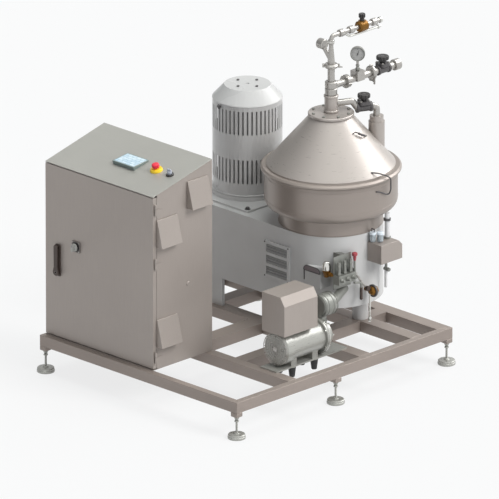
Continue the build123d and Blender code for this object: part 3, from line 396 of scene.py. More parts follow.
class Recipe:
    """A material in the making, with its shader and links."""

    def __init__(self, name, base, roughness, metallic=0.0):
        self.material = bpy.data.materials.new(name)
        self.material.use_nodes = True
        self.material.diffuse_color = (*base, 1)
        self.nodes = self.material.node_tree.nodes
        self.links = self.material.node_tree.links
        self.shader = self.nodes["Principled BSDF"]
        self.base = tuple(base)
        self.shader.inputs["Base Color"].default_value = (*base, 1)
        self.shader.inputs["Roughness"].default_value = roughness
        self.shader.inputs["Metallic"].default_value = metallic
        self.roughness = roughness

    def node(self, kind, **inputs):
        """A node with some of its inputs set."""
        made = self.nodes.new(kind)
        for name, value in inputs.items():
            made.inputs[name.replace("_", " ")].default_value = value
        return made

    def noise(self, scale, stretch=(1, 1, 1), detail=4.0, roughness=0.55):
        """Noise in the object's own coordinates, stretched along axes."""
        place = self.node("ShaderNodeTexCoord")
        mapping = self.node("ShaderNodeMapping", Scale=stretch)
        texture = self.node("ShaderNodeTexNoise", Scale=scale, Detail=detail, Roughness=roughness)
        self.links.new(place.outputs["Object"], mapping.inputs["Vector"])
        self.links.new(mapping.outputs["Vector"], texture.inputs["Vector"])
        return texture.outputs["Fac"]

    def spread(self, value, low, high, start=0.3, end=0.7):
        """A value from 0 to 1 spread between two numbers."""
        made = self.node("ShaderNodeMapRange", From_Min=start, From_Max=end, To_Min=low, To_Max=high)
        self.links.new(value, made.inputs["Value"])
        return made.outputs["Result"]

    def times(self, one, other):
        """Two values multiplied."""
        return joined(self.nodes, self.links, "MULTIPLY", one, other)

    def shade(self, value):
        """The base colour made darker or lighter by a value round 1."""
        made = self.node("ShaderNodeVectorMath")
        made.operation = "SCALE"
        made.inputs[0].default_value = self.base
        self.links.new(value, made.inputs["Scale"])
        self.links.new(made.outputs["Vector"], self.shader.inputs["Base Color"])

    def blend(self, value, other):
        """The base colour mixed into another one by a value."""
        made = self.node("ShaderNodeMix")
        made.data_type = "RGBA"
        made.inputs["A"].default_value = (*self.base, 1)
        made.inputs["B"].default_value = (*other, 1)
        self.links.new(value, made.inputs["Factor"])
        self.links.new(made.outputs["Result"], self.shader.inputs["Base Color"])

    def rough(self, value):
        """A roughness that varies."""
        self.links.new(value, self.shader.inputs["Roughness"])

    def bump(self, value, strength, distance):
        """A fine relief."""
        made = self.node("ShaderNodeBump", Strength=strength, Distance=distance)
        self.links.new(value, made.inputs["Height"])
        self.links.new(made.outputs["Normal"], self.shader.inputs["Normal"])


def brushed(name, base, grain=(2, 90, 90), metallic=0.55, roughness=0.42, shift=0.07, relief=0.10):
    """Satin stainless sheet: brush lines along one axis under broad, faint clouds."""
    recipe = Recipe(name, base, roughness, metallic)
    lines = recipe.noise(6.0, grain, 3.0)
    clouds = recipe.noise(2.2, (1, 1, 1), 3.0)
    faint = shift * 0.7
    line_shade = recipe.spread(lines, 1 - shift, 1 + shift)
    recipe.shade(recipe.times(line_shade, recipe.spread(clouds, 1 - faint, 1 + faint)))
    recipe.rough(recipe.spread(lines, roughness - 0.07, roughness + 0.09))
    recipe.bump(lines, relief, 0.0004)
    return recipe.material


def polished(name, base, metallic=0.75, roughness=0.27):
    """Drawn, polished stainless pipe with faint marks of handling."""
    recipe = Recipe(name, base, roughness, metallic)
    marks = recipe.noise(38.0, (1, 1, 1), 6.0)
    recipe.shade(recipe.spread(marks, 0.96, 1.04))
    recipe.rough(recipe.spread(marks, roughness - 0.04, roughness + 0.06))
    recipe.bump(marks, 0.02, 0.0003)
    return recipe.material


def enamel(name, base, roughness=0.38, orange_peel=0.10):
    """Sprayed enamel with a slight orange peel and a soft coat."""
    recipe = Recipe(name, base, roughness)
    peel = recipe.noise(260.0, (1, 1, 1), 2.0)
    clouds = recipe.noise(3.0, (1, 1, 1), 3.0)
    recipe.shade(recipe.spread(clouds, 0.95, 1.05))
    recipe.rough(recipe.spread(clouds, roughness - 0.05, roughness + 0.07))
    recipe.bump(peel, orange_peel, 0.0004)
    recipe.shader.inputs["Coat Weight"].default_value = 0.12
    recipe.shader.inputs["Coat Roughness"].default_value = 0.25
    return recipe.material


def moulded(name, base, roughness=0.5, grain=0.25):
    """Moulded plastic with a fine spark-eroded grain."""
    recipe = Recipe(name, base, roughness)
    pits = recipe.noise(900.0, (1, 1, 1), 2.0)
    clouds = recipe.noise(14.0, (1, 1, 1), 2.0)
    recipe.shade(recipe.spread(clouds, 0.93, 1.07))
    recipe.rough(recipe.spread(pits, roughness - 0.06, roughness + 0.08))
    recipe.bump(pits, grain, 0.0002)
    return recipe.material


def cast_brass(name, base):
    """Cast brass: a grainy skin with darker hollows."""
    recipe = Recipe(name, base, 0.32, 0.6)
    skin = recipe.noise(120.0, (1, 1, 1), 5.0)
    stain = recipe.noise(24.0, (1, 1, 1), 3.0)
    recipe.blend(recipe.spread(stain, 0.0, 0.55, 0.35, 0.75), tuple(c * 0.35 for c in base))
    recipe.rough(recipe.spread(skin, 0.22, 0.45))
    recipe.bump(skin, 0.2, 0.0005)
    return recipe.material


def clear_plastic(name, base):
    """Clear moulded bowl with a faint tint and slight haze."""
    recipe = Recipe(name, base, 0.06)
    haze = recipe.noise(40.0, (1, 1, 1), 2.0)
    recipe.rough(recipe.spread(haze, 0.03, 0.12))
    recipe.shader.inputs["Transmission Weight"].default_value = 0.75
    recipe.shader.inputs["IOR"].default_value = 1.45
    return recipe.material


def lit_display(name):
    """A display that shows a plain process page: pale fields, bars and a header, with no words."""
    recipe = Recipe(name, (0.62, 0.76, 0.88), 0.12)
    place = recipe.node("ShaderNodeTexCoord")
    fields = {"Color1": (0.40, 0.53, 0.62, 1), "Color2": (0.56, 0.66, 0.72, 1)}
    gaps = {"Mortar": (0.20, 0.34, 0.42, 1), "Mortar_Size": 0.03}
    layout = {"Scale": 30.0, "Brick_Width": 0.9, "Row_Height": 0.6}
    bricks = recipe.node("ShaderNodeTexBrick", **fields, **gaps, **layout)
    recipe.links.new(place.outputs["Object"], bricks.inputs["Vector"])
    recipe.links.new(bricks.outputs["Color"], recipe.shader.inputs["Base Color"])
    recipe.links.new(bricks.outputs["Color"], recipe.shader.inputs["Emission Color"])
    recipe.shader.inputs["Emission Strength"].default_value = 0.18
    return recipe.material


FINISHES = {}


def finish_table():
    """What makes each finish: a function, then its colour and other values."""
    tone = bpy.context.scene.centrifuge_finishes

    def toned(share):
        """The drive's grey made darker."""
        return [share * c for c in tone.drive_paint]

    return {
        "frame_steel": (brushed, tone.frame_steel, (60, 2, 60), 0.45, 0.46),
        "frame_steel_across": (brushed, tone.frame_steel, (2, 60, 60), 0.45, 0.46),
        "cabinet_steel": (brushed, tone.cabinet_steel, (60, 60, 2), 0.40, 0.45, 0.045),
        "desk_steel": (brushed, tone.desk_steel, (2, 70, 70), 0.40, 0.42, 0.045),
        "bowl_steel": (brushed, tone.bowl_steel, (3, 3, 90), 0.50, 0.38, 0.03, 0.03),
        "hood_steel": (brushed, tone.hood_steel, (3, 3, 60), 0.50, 0.34, 0.012, 0.01),
        "pipe_steel": (polished, tone.pipe_steel),
        "bright_steel": (polished, (0.66, 0.66, 0.63), 0.90, 0.16),
        "dull_steel": (polished, (0.27, 0.275, 0.255), 0.55, 0.40),
        "handle_plastic": (moulded, tone.handle_plastic, 0.45),
        "switch_plastic": (moulded, (0.17, 0.15, 0.14), 0.5),
        "hose": (moulded, (0.66, 0.66, 0.67), 0.5),
        "filter_core": (moulded, (0.76, 0.83, 0.90), 0.4),
        "dark_red": (moulded, (0.36, 0.06, 0.075), 0.4),
        "body_enamel": (enamel, toned(0.62), 0.45),
        "pump_steel": (brushed, tone.pump_steel, (70, 3, 70), 0.50, 0.32, 0.03, 0.04),
        "drive_enamel": (enamel, tone.drive_paint),
        "cover_enamel": (enamel, toned(0.98), 0.30),
        # Near-black enamel used as painted shade: the sheets behind the louvre's blades and the shadow lines
        # round the hatch.
        "dark_enamel": (enamel, toned(0.16), 0.5),
        "blade_enamel": (enamel, toned(0.64), 0.5),
        "valve_enamel": (enamel, tone.valve_enamel, 0.42, 0.2),
        "black_plastic": (moulded, tone.black_plastic, 0.42),
        "grey_plastic": (moulded, tone.grey_plastic),
        "bezel_plastic": (moulded, (0.19, 0.24, 0.23), 0.4),
        "knob_plastic": (moulded, (0.42, 0.45, 0.52), 0.4),
        # Dark purple-brown of the band over the hatch: its darkness is painted shade along the hatch's top.
        "band_enamel": (enamel, (0.20, 0.165, 0.175), 0.45),
        "stop_red": (moulded, tone.stop_red, 0.28, 0.1),
        "collar_yellow": (moulded, tone.collar_yellow, 0.4, 0.15),
        "brass": (cast_brass, tone.brass),
        "clear_bowl": (clear_plastic, tone.bowl_glass),
        "dial_white": (moulded, (0.80, 0.80, 0.78), 0.5, 0.05),
        "dial_grey": (moulded, (0.36, 0.36, 0.355), 0.35, 0.05),
        "rubber": (moulded, (0.035, 0.035, 0.036), 0.7, 0.4),
        "display": (lit_display,),
    }


def finish(name):
    """A finish by its name, made when it is first asked for."""
    if name not in FINISHES:
        maker, *values = finish_table()[name]
        FINISHES[name] = maker(name, *values)
    return FINISHES[name]


NODE_FINISHES = {
    "frame_steel": ("rail_left", "rail_right", "beams_front", "beams_middle", "beams_rear"),
    "frame_steel_across": (
        "rail_front", "rail_back", "cross_rail_front", "cross_rail_middle", "cross_rail_rear",
    ),
    "cabinet_steel": (
        "cabinet_left_side", "cabinet_right_side", "cabinet_back", "cabinet_floor", "cabinet_door",
        "vent_hoods", "door_hinges", "side_box", "pump_control_box",
    ),
    "desk_steel": ("cabinet_top",),
    "bowl_steel": ("bowl_drum", "rim_clamp"),
    "hood_steel": ("hood_cone", "hood_flange", "hood_nozzle"),
    "pipe_steel": (
        "feed_pipe", "water_line", "outlet_line", "return_line", "pressure_gauge", "levelling_feet",
    ),
    "dull_steel": ("pump_pipe", "water_manifold"),
    "pump_steel": ("pump_motor", "pump_head", "pump_plate"),
    "drive_enamel": ("drive_housing", "housing_legs", "drive_louvre", "motor_plate", "housing_hatch"),
    "cover_enamel": ("motor_cover", "motor_cap"),
    "body_enamel": ("motor_body",),
    "valve_enamel": ("outlet_valve", "return_valve"),
    "brass": ("water_valve", "water_regulator", "strainer"),
    "black_plastic": ("door_plates", "door_handle", "selector_knob", "outlet_valve_knob", "return_valve_knob",
                      "water_valve_knob"),
    "grey_plastic": ("main_switch_knob",),
    "bezel_plastic": ("touch_screen",),
    "collar_yellow": ("button_collars",),
    "stop_red": ("stop_button",),
    "clear_bowl": ("filter_bowls",),
}
BEVELLED = (
    "rail_left", "rail_right", "rail_front", "rail_back", "cross_rail_front", "cross_rail_middle",
    "cross_rail_rear", "vent_hoods", "side_box", "pump_control_box", "housing_legs", "cabinet_top",
    "cabinet_door", "motor_plate", "drive_louvre", "housing_hatch",
)


class CENTRIFUGE_OT_solids(bpy.types.Operator):
    """Give every solid its finish, and round the edges of sheet and tube"""

    bl_idname = "centrifuge.solids"
    bl_label = "Finish the solids"

    def execute(self, context):
        for name, nodes in NODE_FINISHES.items():
            for node in nodes:
                solid = frame["nodes"][node]
                solid.data.materials.clear()
                solid.data.materials.append(finish(name))
        for node in BEVELLED:
            solid = frame["nodes"][node]
            weld = solid.modifiers.new("weld", "WELD")
            weld.merge_threshold = 0.00002
            bevel = solid.modifiers.new("edges", "BEVEL")
            bevel.width = 0.0016
            bevel.segments = 2
            bevel.limit_method = "ANGLE"
            bevel.angle_limit = radians(40)
            bevel.harden_normals = True
        return {"FINISHED"}


def on_desk(point):
    """The foot of a point on the sloping top, with Z along the top's normal and X along the machine's X."""
    top = Box("cabinet_top")
    slope = atan2(top.size.z - SHEET, top.size.y)
    desk = at(top.mid.x, top.mid.y, top.mid.z + SHEET / 2 / cos(slope)) @ Matrix.Rotation(slope, 4, "X")
    foot = desk.inverted() @ point
    return desk @ at(foot.x, foot.y, 0)


class CENTRIFUGE_OT_display(bpy.types.Operator):
    """Build the operator's display in its bezel"""

    bl_idname = "centrifuge.display"
    bl_label = "Display"

    def execute(self, context):
        sizes = context.scene.centrifuge_desk
        screen = Box("touch_screen")
        place = on_desk(screen.mid)
        half_w, half_h = screen.size.x / 2, sizes.screen_height / 2
        front, back = sizes.screen_front, sizes.screen_back
        body = Shape()
        edge = sizes.bezel_edge
        foot_share = 0.97
        outline = [(sx * half_w, sy * half_h) for sx, sy in ((-1, -1), (1, -1), (1, 1), (-1, 1))]
        rises = (front, front, back, back)
        foot = [(x * foot_share, y * foot_share, 0) for x, y in outline]
        head = [(x, y, rise) for (x, y), rise in zip(outline, rises)]
        sides = [[i, (i + 1) % 4, 4 + (i + 1) % 4, 4 + i] for i in range(4)]
        body.add(foot + head, [[3, 2, 1, 0], [4, 5, 6, 7]] + sides, place)
        tilt = atan2(front - back, half_h * 2)
        face = place @ at(0, 0, (front + back) / 2) @ Matrix.Rotation(-tilt, 4, "X")
        body.prism(rounded(half_w * 2, half_h * 2, edge * 2), -0.002, 0.0015, face, edge / 4)
        body.finish = 1
        glass_w = half_w * 2 - sizes.bezel * 2
        glass_h = half_h * 2 - sizes.bezel * 2
        body.prism(rounded(glass_w, glass_h, edge / 2), 0.0015, 0.0020, face)
        body.finish = 2
        key_pitch = 0.016
        for step in range(-2, 3):
            key = face @ at(half_w - sizes.bezel / 2, step * key_pitch, 0.0015)
            body.prism(rounded(0.004, 0.008, 0.0015), 0, 0.0006, key, 0.0002)
        finishes = ["bezel_plastic", "display", "grey_plastic"]
        body.piece("operator_display", finishes, replaces=["touch_screen"])
        return {"FINISHED"}


class CENTRIFUGE_OT_desk_controls(bpy.types.Operator):
    """Build the stop button with its collar, and the selector"""

    bl_idname = "centrifuge.desk_controls"
    bl_label = "Stop button and selector"

    def execute(self, context):
        sizes = context.scene.centrifuge_desk
        pivot = Vector(next(joint["pos_m"] for joint in frame["joints"] if joint["name"] == "selector_turn"))
        stop_at = on_desk(Vector((Box("stop_button").mid.x, pivot.y, pivot.z)))
        turn_at = on_desk(pivot)

        collars = Shape()
        dish = [(0.0095, 0), (0.034, 0), (0.0345, 0.002), (0.033, 0.006), (0.030, 0.012), (0.0285, 0.0125),
                (0.027, 0.0115), (0.022, 0.0115), (0.021, 0.0130), (0.0095, 0.0130), (0.0095, 0)]
        collars.lathe(dish, stop_at, 72)
        collars.finish = 1
        ring = [(0.0054, 0), (0.0215, 0), (0.0222, 0.002), (0.0210, 0.007), (0.0180, 0.0085), (0.0150, 0.006),
                (0.0054, 0.006), (0.0054, 0)]
        collars.lathe(ring, turn_at, 48)
        finishes = ["collar_yellow", "black_plastic"]
        collars.piece("control_collars", finishes, replaces=["button_collars"])

        def grip(angle, radius):
            """Shallow waves round the mushroom's wide part."""
            return 0.0006 * cos(sizes.mushroom_flutes * angle) if radius > 0.018 else 0

        button = Shape()
        mushroom = [(0, 0.0055), (0.009, 0.0055), (0.009, 0.019), (0.0185, 0.020), (0.0198, 0.0215),
                    (0.0202, 0.034), (0.0195, 0.0375), (0.0170, 0.0405), (0.010, 0.0418), (0, 0.042)]
        button.lathe(mushroom, stop_at, 96, grip)
        button.piece("stop_mushroom", ["stop_red"], "stop_button", ["stop_button"])

        knob = Shape()
        barrel = [(0, 0.0005), (0.005, 0.0005), (0.005, 0.009), (0.0130, 0.009), (0.0135, 0.010),
                  (0.0135, 0.024), (0.0125, 0.0255), (0, 0.026)]
        knob.lathe(barrel, turn_at, 48)
        knob.prism(rounded(0.0255, 0.0090, 0.003), 0.0255, 0.036, turn_at, 0.001)
        knob.finish = 1
        knob.prism(rounded(0.009, 0.0016, 0.0006), 0.036, 0.0363, turn_at @ at(0.006, 0, 0))
        finishes = ["knob_plastic", "black_plastic"]
        knob.piece("selector_grip", finishes, "selector", ["selector_knob"])
        return {"FINISHED"}


class CENTRIFUGE_OT_door_fittings(bpy.types.Operator):
    """Build the swing handle, the main switch and their plates"""

    bl_idname = "centrifuge.door_fittings"
    bl_label = "Door handle and main switch"

    def execute(self, context):
        sizes = context.scene.centrifuge_desk
        plates = Box("door_plates")
        handle = Box("door_handle")
        knob = Box("main_switch_knob")
        face = Box("cabinet_door").lo.y
        edge = sizes.handle_edge
        upright = turn(90, "X")

        shape = Shape()
        plate_height = 0.176
        plate_at = at(handle.mid.x, face, plates.lo.z + plate_height / 2) @ upright
        shape.prism(rounded(0.036, plate_height, 0.006), 0, 0.008, plate_at, 0.002)
        shape.finish = 1
        pivot_z = handle.lo.z + sizes.handle_pivot
        pivot = at(handle.mid.x, face, pivot_z) @ upright
        shape.lathe([(0, 0), (0.0055, 0), (0.0055, 0.022), (0.0045, 0.023), (0, 0.023)], pivot, 24)
        shape.finish = 2
        side = sizes.switch_plate
        switch_at = at(knob.mid.x, face, knob.mid.z) @ upright
        shape.prism(rounded(side, side, 0.006), 0, 0.006, switch_at, 0.0012)
        # The rose round the main switch's knob is real, but its black stands in part for the knob's shadow:
        # painted shadow.
        shape.finish = 3
        shape.ring(0.027, 0.006, 0.006, 0.008, switch_at)
        shape.finish = 1
        for dx, dz in four_corners(side * 0.4, side * 0.4):
            screw = at(knob.mid.x + dx, face, knob.mid.z + dz) @ upright
            shape.lathe([(0, 0.0060), (0.0026, 0.0060), (0.0022, 0.0072), (0, 0.0074)], screw, 16)
        shape.lathe([(0, 0), (0.005, 0), (0.005, 0.025), (0, 0.025)], switch_at, 24)
        finishes = ["handle_plastic", "bright_steel", "switch_plastic", "black_plastic"]
        shape.piece("door_base_plates", finishes, "door", ["door_plates"])

        lever = Shape()
        front = face - handle.lo.y
        top = plates.lo.z + 0.174 - pivot_z
        foot, half = sizes.handle_foot, sizes.handle_half
        outline = []
        arc_steps = 16
        for step in range(arc_steps + 1):
            angle = pi * (0.92 + 1.16 * step / arc_steps)
            outline.append((foot * cos(angle), foot * sin(angle)))
        outline += [(half, 0.030), (half, top - 0.006), (half - 0.005, top)]
        outline += [(-x, y) for x, y in reversed(outline[-3:])]
        lever.prism(outline, front - 0.0095, front, pivot, edge / 2)
        lever.ring(0.0145, 0.0060, front - 0.0145, front - 0.009, pivot)
        lever.finish = 1
        lock = [(0.0060, -0.001), (0.0085, -0.0005), (0.0080, 0.0003), (0.0060, 0.0002)]
        lever.lathe(lock, pivot @ at(0, 0, front), 24)
        finishes = ["handle_plastic", "switch_plastic"]
        lever.piece("swing_handle", finishes, "handle", ["door_handle"])

        switch = Shape()
        back = face - knob.hi.y
        tip = face - knob.lo.y
        dome = [(0.0054, 0), (0.008, 0), (0.008, 0.0045), (0.0205, 0.005), (0.0218, 0.007), (0.0205, 0.013),
                (0.0180, 0.0145), (0, 0.0145)]
        switch.lathe(dome, switch_at @ at(0, 0, back), 48)
        switch.prism(rounded(0.012, 0.041, 0.005), back + 0.0140, tip, switch_at, 0.0015)
        switch.finish = 1
        switch.prism(rounded(0.0022, 0.012, 0.0008), tip, tip + 0.0003, switch_at @ at(0, 0.011, 0))
        finishes = ["grey_plastic", "black_plastic"]
        switch.piece("switch_grip", finishes, "main_switch", ["main_switch_knob"])
        return {"FINISHED"}


class CENTRIFUGE_OT_cabinet_trim(bpy.types.Operator):
    """Build the plug and the screws on the cabinet's side, the strips round its door, and a dark strip of
    painted shadow at its left edge
    """

    bl_idname = "centrifuge.cabinet_trim"
    bl_label = "Cabinet trim"

    def execute(self, context):
        sizes = context.scene.centrifuge_desk
        side = Box("cabinet_right_side")
        hoods = Box("vent_hoods")
        door = Box("cabinet_door")
        shape = Shape()
        radius = sizes.plug_radius
        plug_at = at(side.hi.x, side.lo.y + 0.227, 0.626) @ turn(90, "Y")
        plug = [(radius, 0), (radius, 0.002), (radius * 0.8, 0.0045), (radius * 0.35, 0.0052),
                (radius * 0.3, 0.0035), (0, 0.0035)]
        shape.lathe(plug, plug_at, 32)
        height = door.size.z - 0.004
        top_strip = at(door.mid.x, door.lo.y + 0.005, door.hi.z + 0.0034)
        side_strip = at(side.hi.x - 0.003, side.lo.y - 0.0018, door.mid.z)
        shape.block((door.size.x - 0.030, 0.004, 0.0030), top_strip, 0.0005)
        shape.block((0.007, 0.0032, height), side_strip, 0.0005)
        # A dark strip in the gap at the door's left edge: painted shadow.
        shape.finish = 2
        shape.block((0.0065, 0.016, height), at(door.lo.x - 0.0045, door.hi.y, door.mid.z), 0.001)
        shape.finish = 1
        hood_side = 0.150
        places = ((hoods.hi.y - hood_side / 2, hoods.hi.z), (hoods.lo.y + hood_side / 2, hoods.hi.z - 0.158),
                  (hoods.lo.y + hood_side / 2, hoods.lo.z + hood_side))
        for y, top in places:
            for step in (-1, 1):
                screw = at(side.hi.x + 0.0075, y + step * 0.055, top - 0.010) @ turn(76, "Y")
                shape.lathe([(0.0042, 0), (0.0042, 0.0012), (0.0030, 0.0026), (0, 0.0030)], screw, 16)
        finishes = ["cabinet_steel", "bright_steel", "bezel_plastic"]
        shape.piece("cabinet_side_trim", finishes)
        return {"FINISHED"}


class CENTRIFUGE_OT_feet(bpy.types.Operator):
    """Build the six levelling feet with their nuts and stepped discs"""

    bl_idname = "centrifuge.feet"
    bl_label = "Levelling feet"

    def execute(self, context):
        sizes = context.scene.centrifuge_desk
        feet = Box("levelling_feet")
        disc = sizes.foot_disc
        left, right = feet.lo.x + disc, feet.hi.x - disc
        rows = (feet.lo.y + disc, Box("cross_rail_middle").lo.y - 0.193, feet.hi.y - disc)
        top = feet.hi.z
        shape = Shape()
        spindle = 0.0060
        pad_top = 0.0350
        pitch = 0.0025
        pad = [(0, 0), (disc - 0.003, 0), (disc - 0.0005, 0.002), (disc, 0.010), (disc - 0.001, 0.013),
               (disc - 0.0025, 0.014), (disc - 0.0025, 0.022), (disc - 0.005, 0.025), (0.030, 0.0265),
               (0.0155, 0.0275), (0.0140, 0.0290), (0.0135, 0.0330), (0.0070, 0.0345), (spindle, pad_top)]
        thread = [(spindle, pad_top)]
        for step in range(24):
            low = pad_top + step * pitch
            thread += [(spindle * 0.9, low + 0.0006), (spindle, low + 0.0018)]
        thread.append((spindle, top - 0.030))
        cone = [(spindle, top - 0.0460), (0.0075, top - 0.0445), (0.0165, top - 0.0250),
                (0.0170, top - 0.0240), (0, top - 0.0240)]
        for x, y in ((x, y) for x in (left, right) for y in rows):
            place = at(x, y, 0)
            shape.finish = 0
            shape.lathe(pad, place, 64)
            shape.lathe(thread, place, 24)
            shape.hexagon(0.0125, 0.008, at(x, y, top - 0.054))
            shape.lathe(cone, place, 32)
            shape.finish = 1
            shape.block((0.044, 0.044, 0.024), at(x, y, top - 0.012), 0.002)
        shape.piece("foot_set", ["pump_steel", "frame_steel"], replaces=["levelling_feet"])
        return {"FINISHED"}


class CENTRIFUGE_OT_motor_trim(bpy.types.Operator):
    """Build the motor's bead, cap bolts, lifting eye and plate bolts"""

    bl_idname = "centrifuge.motor_trim"
    bl_label = "Motor trim"

    def execute(self, context):
        sizes = context.scene.centrifuge_drive
        cover = Box("motor_cover")
        cap = Box("motor_cap")
        plate = Box("motor_plate")
        x, y = cover.mid.x, cover.mid.y
        radius = cover.size.x / 2
        shape = Shape()
        shape.torus(radius, sizes.bead_radius, at(x, y, cover.lo.z + sizes.bead_radius))
        shape.torus(radius - 0.0006, 0.0022, at(x, y, cover.hi.z))
        shape.finish = 1
        bolt_ring = 0.070
        plate_bolts = 0.215
        washer = 0.002
        for index in range(sizes.cap_bolts):
            angle = tau * index / sizes.cap_bolts
            seat = at(x + bolt_ring * cos(angle), y + bolt_ring * sin(angle), cap.hi.z)
            shape.hexagon(sizes.bolt_radius, 0.006, seat)
        for dx, dy in four_corners(plate_bolts, plate_bolts):
            corner = at(plate.mid.x + dx, plate.mid.y + dy, plate.lo.z + 0.010)
            shape.lathe([(0, 0), (0.016, 0), (0.016, washer), (0, washer)], corner, 24)
            shape.hexagon(sizes.bolt_radius * 1.4, 0.010, corner @ at(0, 0, washer))
        eye_side = -96
        out = Vector((cos(radians(eye_side)), sin(radians(eye_side)), 0))
        base = Vector((x, y, cover.hi.z - 0.016)) + out * (radius - 0.001)
        shape.tube([base, base + out * 0.008], 0.006, None, 16)
        ring_place = Matrix.Translation(base + out * 0.010) @ turn(eye_side, "Z") @ turn(90, "Y")
        shape.torus(sizes.eye_radius * 0.75, 0.0028, ring_place, 32)
        shape.piece("motor_fastenings", ["cover_enamel", "valve_enamel"])
        return {"FINISHED"}


class CENTRIFUGE_OT_housing_trim(bpy.types.Operator):
    """Build the louvre's dark sheets of painted shade, blade skins and screws, and the hatch's rim with its
    painted shade
    """

    bl_idname = "centrifuge.housing_trim"
    bl_label = "Housing trim"

    def execute(self, context):
        louvre = Box("drive_louvre")
        sizes = context.scene.centrifuge_drive
        hatch = Box("housing_hatch")
        border = 0.018
        bays = 3
        skin = 0.0006
        bay = (louvre.size.z - border * (bays + 1)) / bays
        width = louvre.size.x - border * 2
        # The dark sheets in each bay behind the blades are painted shade, where the housing's inside lies in
        # shadow.
        dark = Shape()
        for index in range(bays):
            low = louvre.lo.z + border + index * (bay + border)
            place = at(louvre.mid.x, louvre.hi.y - 0.0034, low + bay / 2)
            dark.block((width - 0.001, skin, bay - 0.001), place, 0.0001)
        dark.finish = 2
        blades = sizes.blades
        slope = degrees(atan2(sizes.blade_rise, sizes.blade_depth))
        reach = hypot(sizes.blade_rise, sizes.blade_depth)
        for index in range(bays * blades):
            low = louvre.lo.z + border + (index // blades) * (bay + border) + (index % blades) * bay / blades
            foot = at(louvre.mid.x, louvre.lo.y + sizes.blade, low + sizes.blade * 2)
            upper = foot @ turn(slope, "X") @ at(0, reach / 2, skin / 2)
            dark.block((width - skin, reach, skin), upper, 0.0001)
            dark.block((width - skin, skin, sizes.blade), foot @ at(0, -skin / 2, -sizes.blade / 2), 0.0001)
        dark.finish = 1
        for dx, dz in four_corners(0.086, 0.094):
            place = at(louvre.mid.x + dx, louvre.lo.y, louvre.mid.z + dz) @ turn(90, "X")
            dark.lathe([(0.0045, 0), (0.0045, 0.0012), (0.0030, 0.0028), (0, 0.0030)], place, 16)
        finishes = ["dark_enamel", "valve_enamel", "blade_enamel"]
        dark.piece("louvre_painted_shade", finishes)

        face = at(hatch.mid.x, hatch.lo.y, hatch.mid.z) @ turn(90, "X")
        corner = sizes.hatch_corner
        band = sizes.hatch_band
        half_x, half_z = hatch.size.x / 2, hatch.size.z / 2
        arch = [(x, y) for x, y in rounded(half_x * 2, half_z * 2, corner, 8) if y > 0]
        low = half_z - band
        line = 0.0035
        rim = Shape()
        # The raised band over the hatch; its dark colour is painted shade along the hatch's top.
        rim.prism([(x, max(y, low)) for x, y in arch], -0.001, 0.004, face, 0.001)
        rim.finish = 1
        # Dark lines under the band, round the arch and down the left edge: painted shadow lines.
        rim.tube([(0.004 - half_x, low, 0.003), (half_x - 0.004, low, 0.003)], line, face, 12)
        rim.tube([(x, y, 0.003) for x, y in arch], 0.003, face, 12)
        rim.tube([(0.002 - half_x, low, 0.001), (0.002 - half_x, corner - half_z, 0.001)], line, face, 12)
        rim.piece("hatch_rim_painted_shade", ["band_enamel", "dark_enamel"])
        return {"FINISHED"}


def cone_point(angle, height, lift):
    """A point on the hood at an angle from +X and a height, lifted off its surface."""
    cone = Box("hood_cone")
    share = (height - cone.lo.z - CONE_SKIRT) / (cone.size.z - CONE_SKIRT)
    radius = CONE_BASE + (CONE_TOP - CONE_BASE) * share + lift
    return Vector((cone.mid.x + radius * cos(angle), cone.mid.y + radius * sin(angle), height))


class CENTRIFUGE_OT_hood_trim(bpy.types.Operator):
    """Build the hood's flange bolts, its grip, the clamp's latch and the welded seams"""

    bl_idname = "centrifuge.hood_trim"
    bl_label = "Hood trim"

    def execute(self, context):
        sizes = context.scene.centrifuge_bowl
        drum = Box("bowl_drum")
        rim = Box("rim_clamp")
        drum_radius = drum.size.x / 2
        x, y = drum.mid.x, drum.mid.y
        bolts = Shape()
        seat = Box("hood_cone").hi.z + 0.015
        reach = 0.100
        for index in range(sizes.flange_bolts):
            angle = tau * (index + 0.5) / sizes.flange_bolts
            bolts.hexagon(0.0085, 0.0065, at(x + reach * cos(angle), y + reach * sin(angle), seat))
        bolts.piece("flange_bolts", ["dull_steel"])

        rods = Shape()

        def hood_point(side, height, lift):
            """A point over the cone, at degrees round from the side that faces the camera."""
            return cone_point(radians(side - CAMERA_SIDE), height, lift)

        thin = ((42.6, 1.276, -0.002), (44.1, 1.285, 0.012), (46.0, 1.289, 0.020), (50.8, 1.278, 0.020),
                (58.7, 1.262, 0.020), (65.3, 1.253, 0.016), (69, 1.247, -0.002))
        rods.tube(curved([hood_point(*p) for p in thin], 0.010, 4), sizes.rod_radius * 0.8, None, 12)
        sleeve = ((50.0, 1.280, 0.020), (54.0, 1.271, 0.021), (59.5, 1.261, 0.020))
        rods.tube([hood_point(*p) for p in sleeve], sizes.grip_radius, None, 20)

        def rim_point(side, height, radius):
            """A point round the rim, at degrees round from the side that faces the camera."""
            angle = radians(side - CAMERA_SIDE)
            return Vector((x + radius * cos(angle), y + radius * sin(angle), height))

        latch = ((41.0, 1.104, 0.318), (45.7, 1.101, 0.345), (48.6, 1.093, 0.362), (51.9, 1.082, 0.374),
                 (53.2, 1.074, 0.382), (54.6, 1.060, 0.384), (55.3, 1.000, 0.381), (55.0, 0.976, 0.372),
                 (53.2, 0.975, 0.362), (46.2, 0.998, 0.357), (41.7, 1.006, 0.355))
        rods.tube(curved([rim_point(*p) for p in latch], 0.012, 4), sizes.rod_radius, None, 12)
        rods.piece("hood_rods", ["valve_enamel"])

        seams = Shape()
        seams.torus(drum_radius, sizes.seam_depth, at(x, y, rim.lo.z - 0.022), 128, 8)
        seams.torus(drum_radius, sizes.seam_depth, at(x, y, drum.lo.z + 0.142), 128, 8)
        seams.torus(0.275, 0.003, at(x, y, drum.lo.z + 0.003), 96, 8)
        seams.piece("casing_seams", ["bowl_steel"])
        return {"FINISHED"}


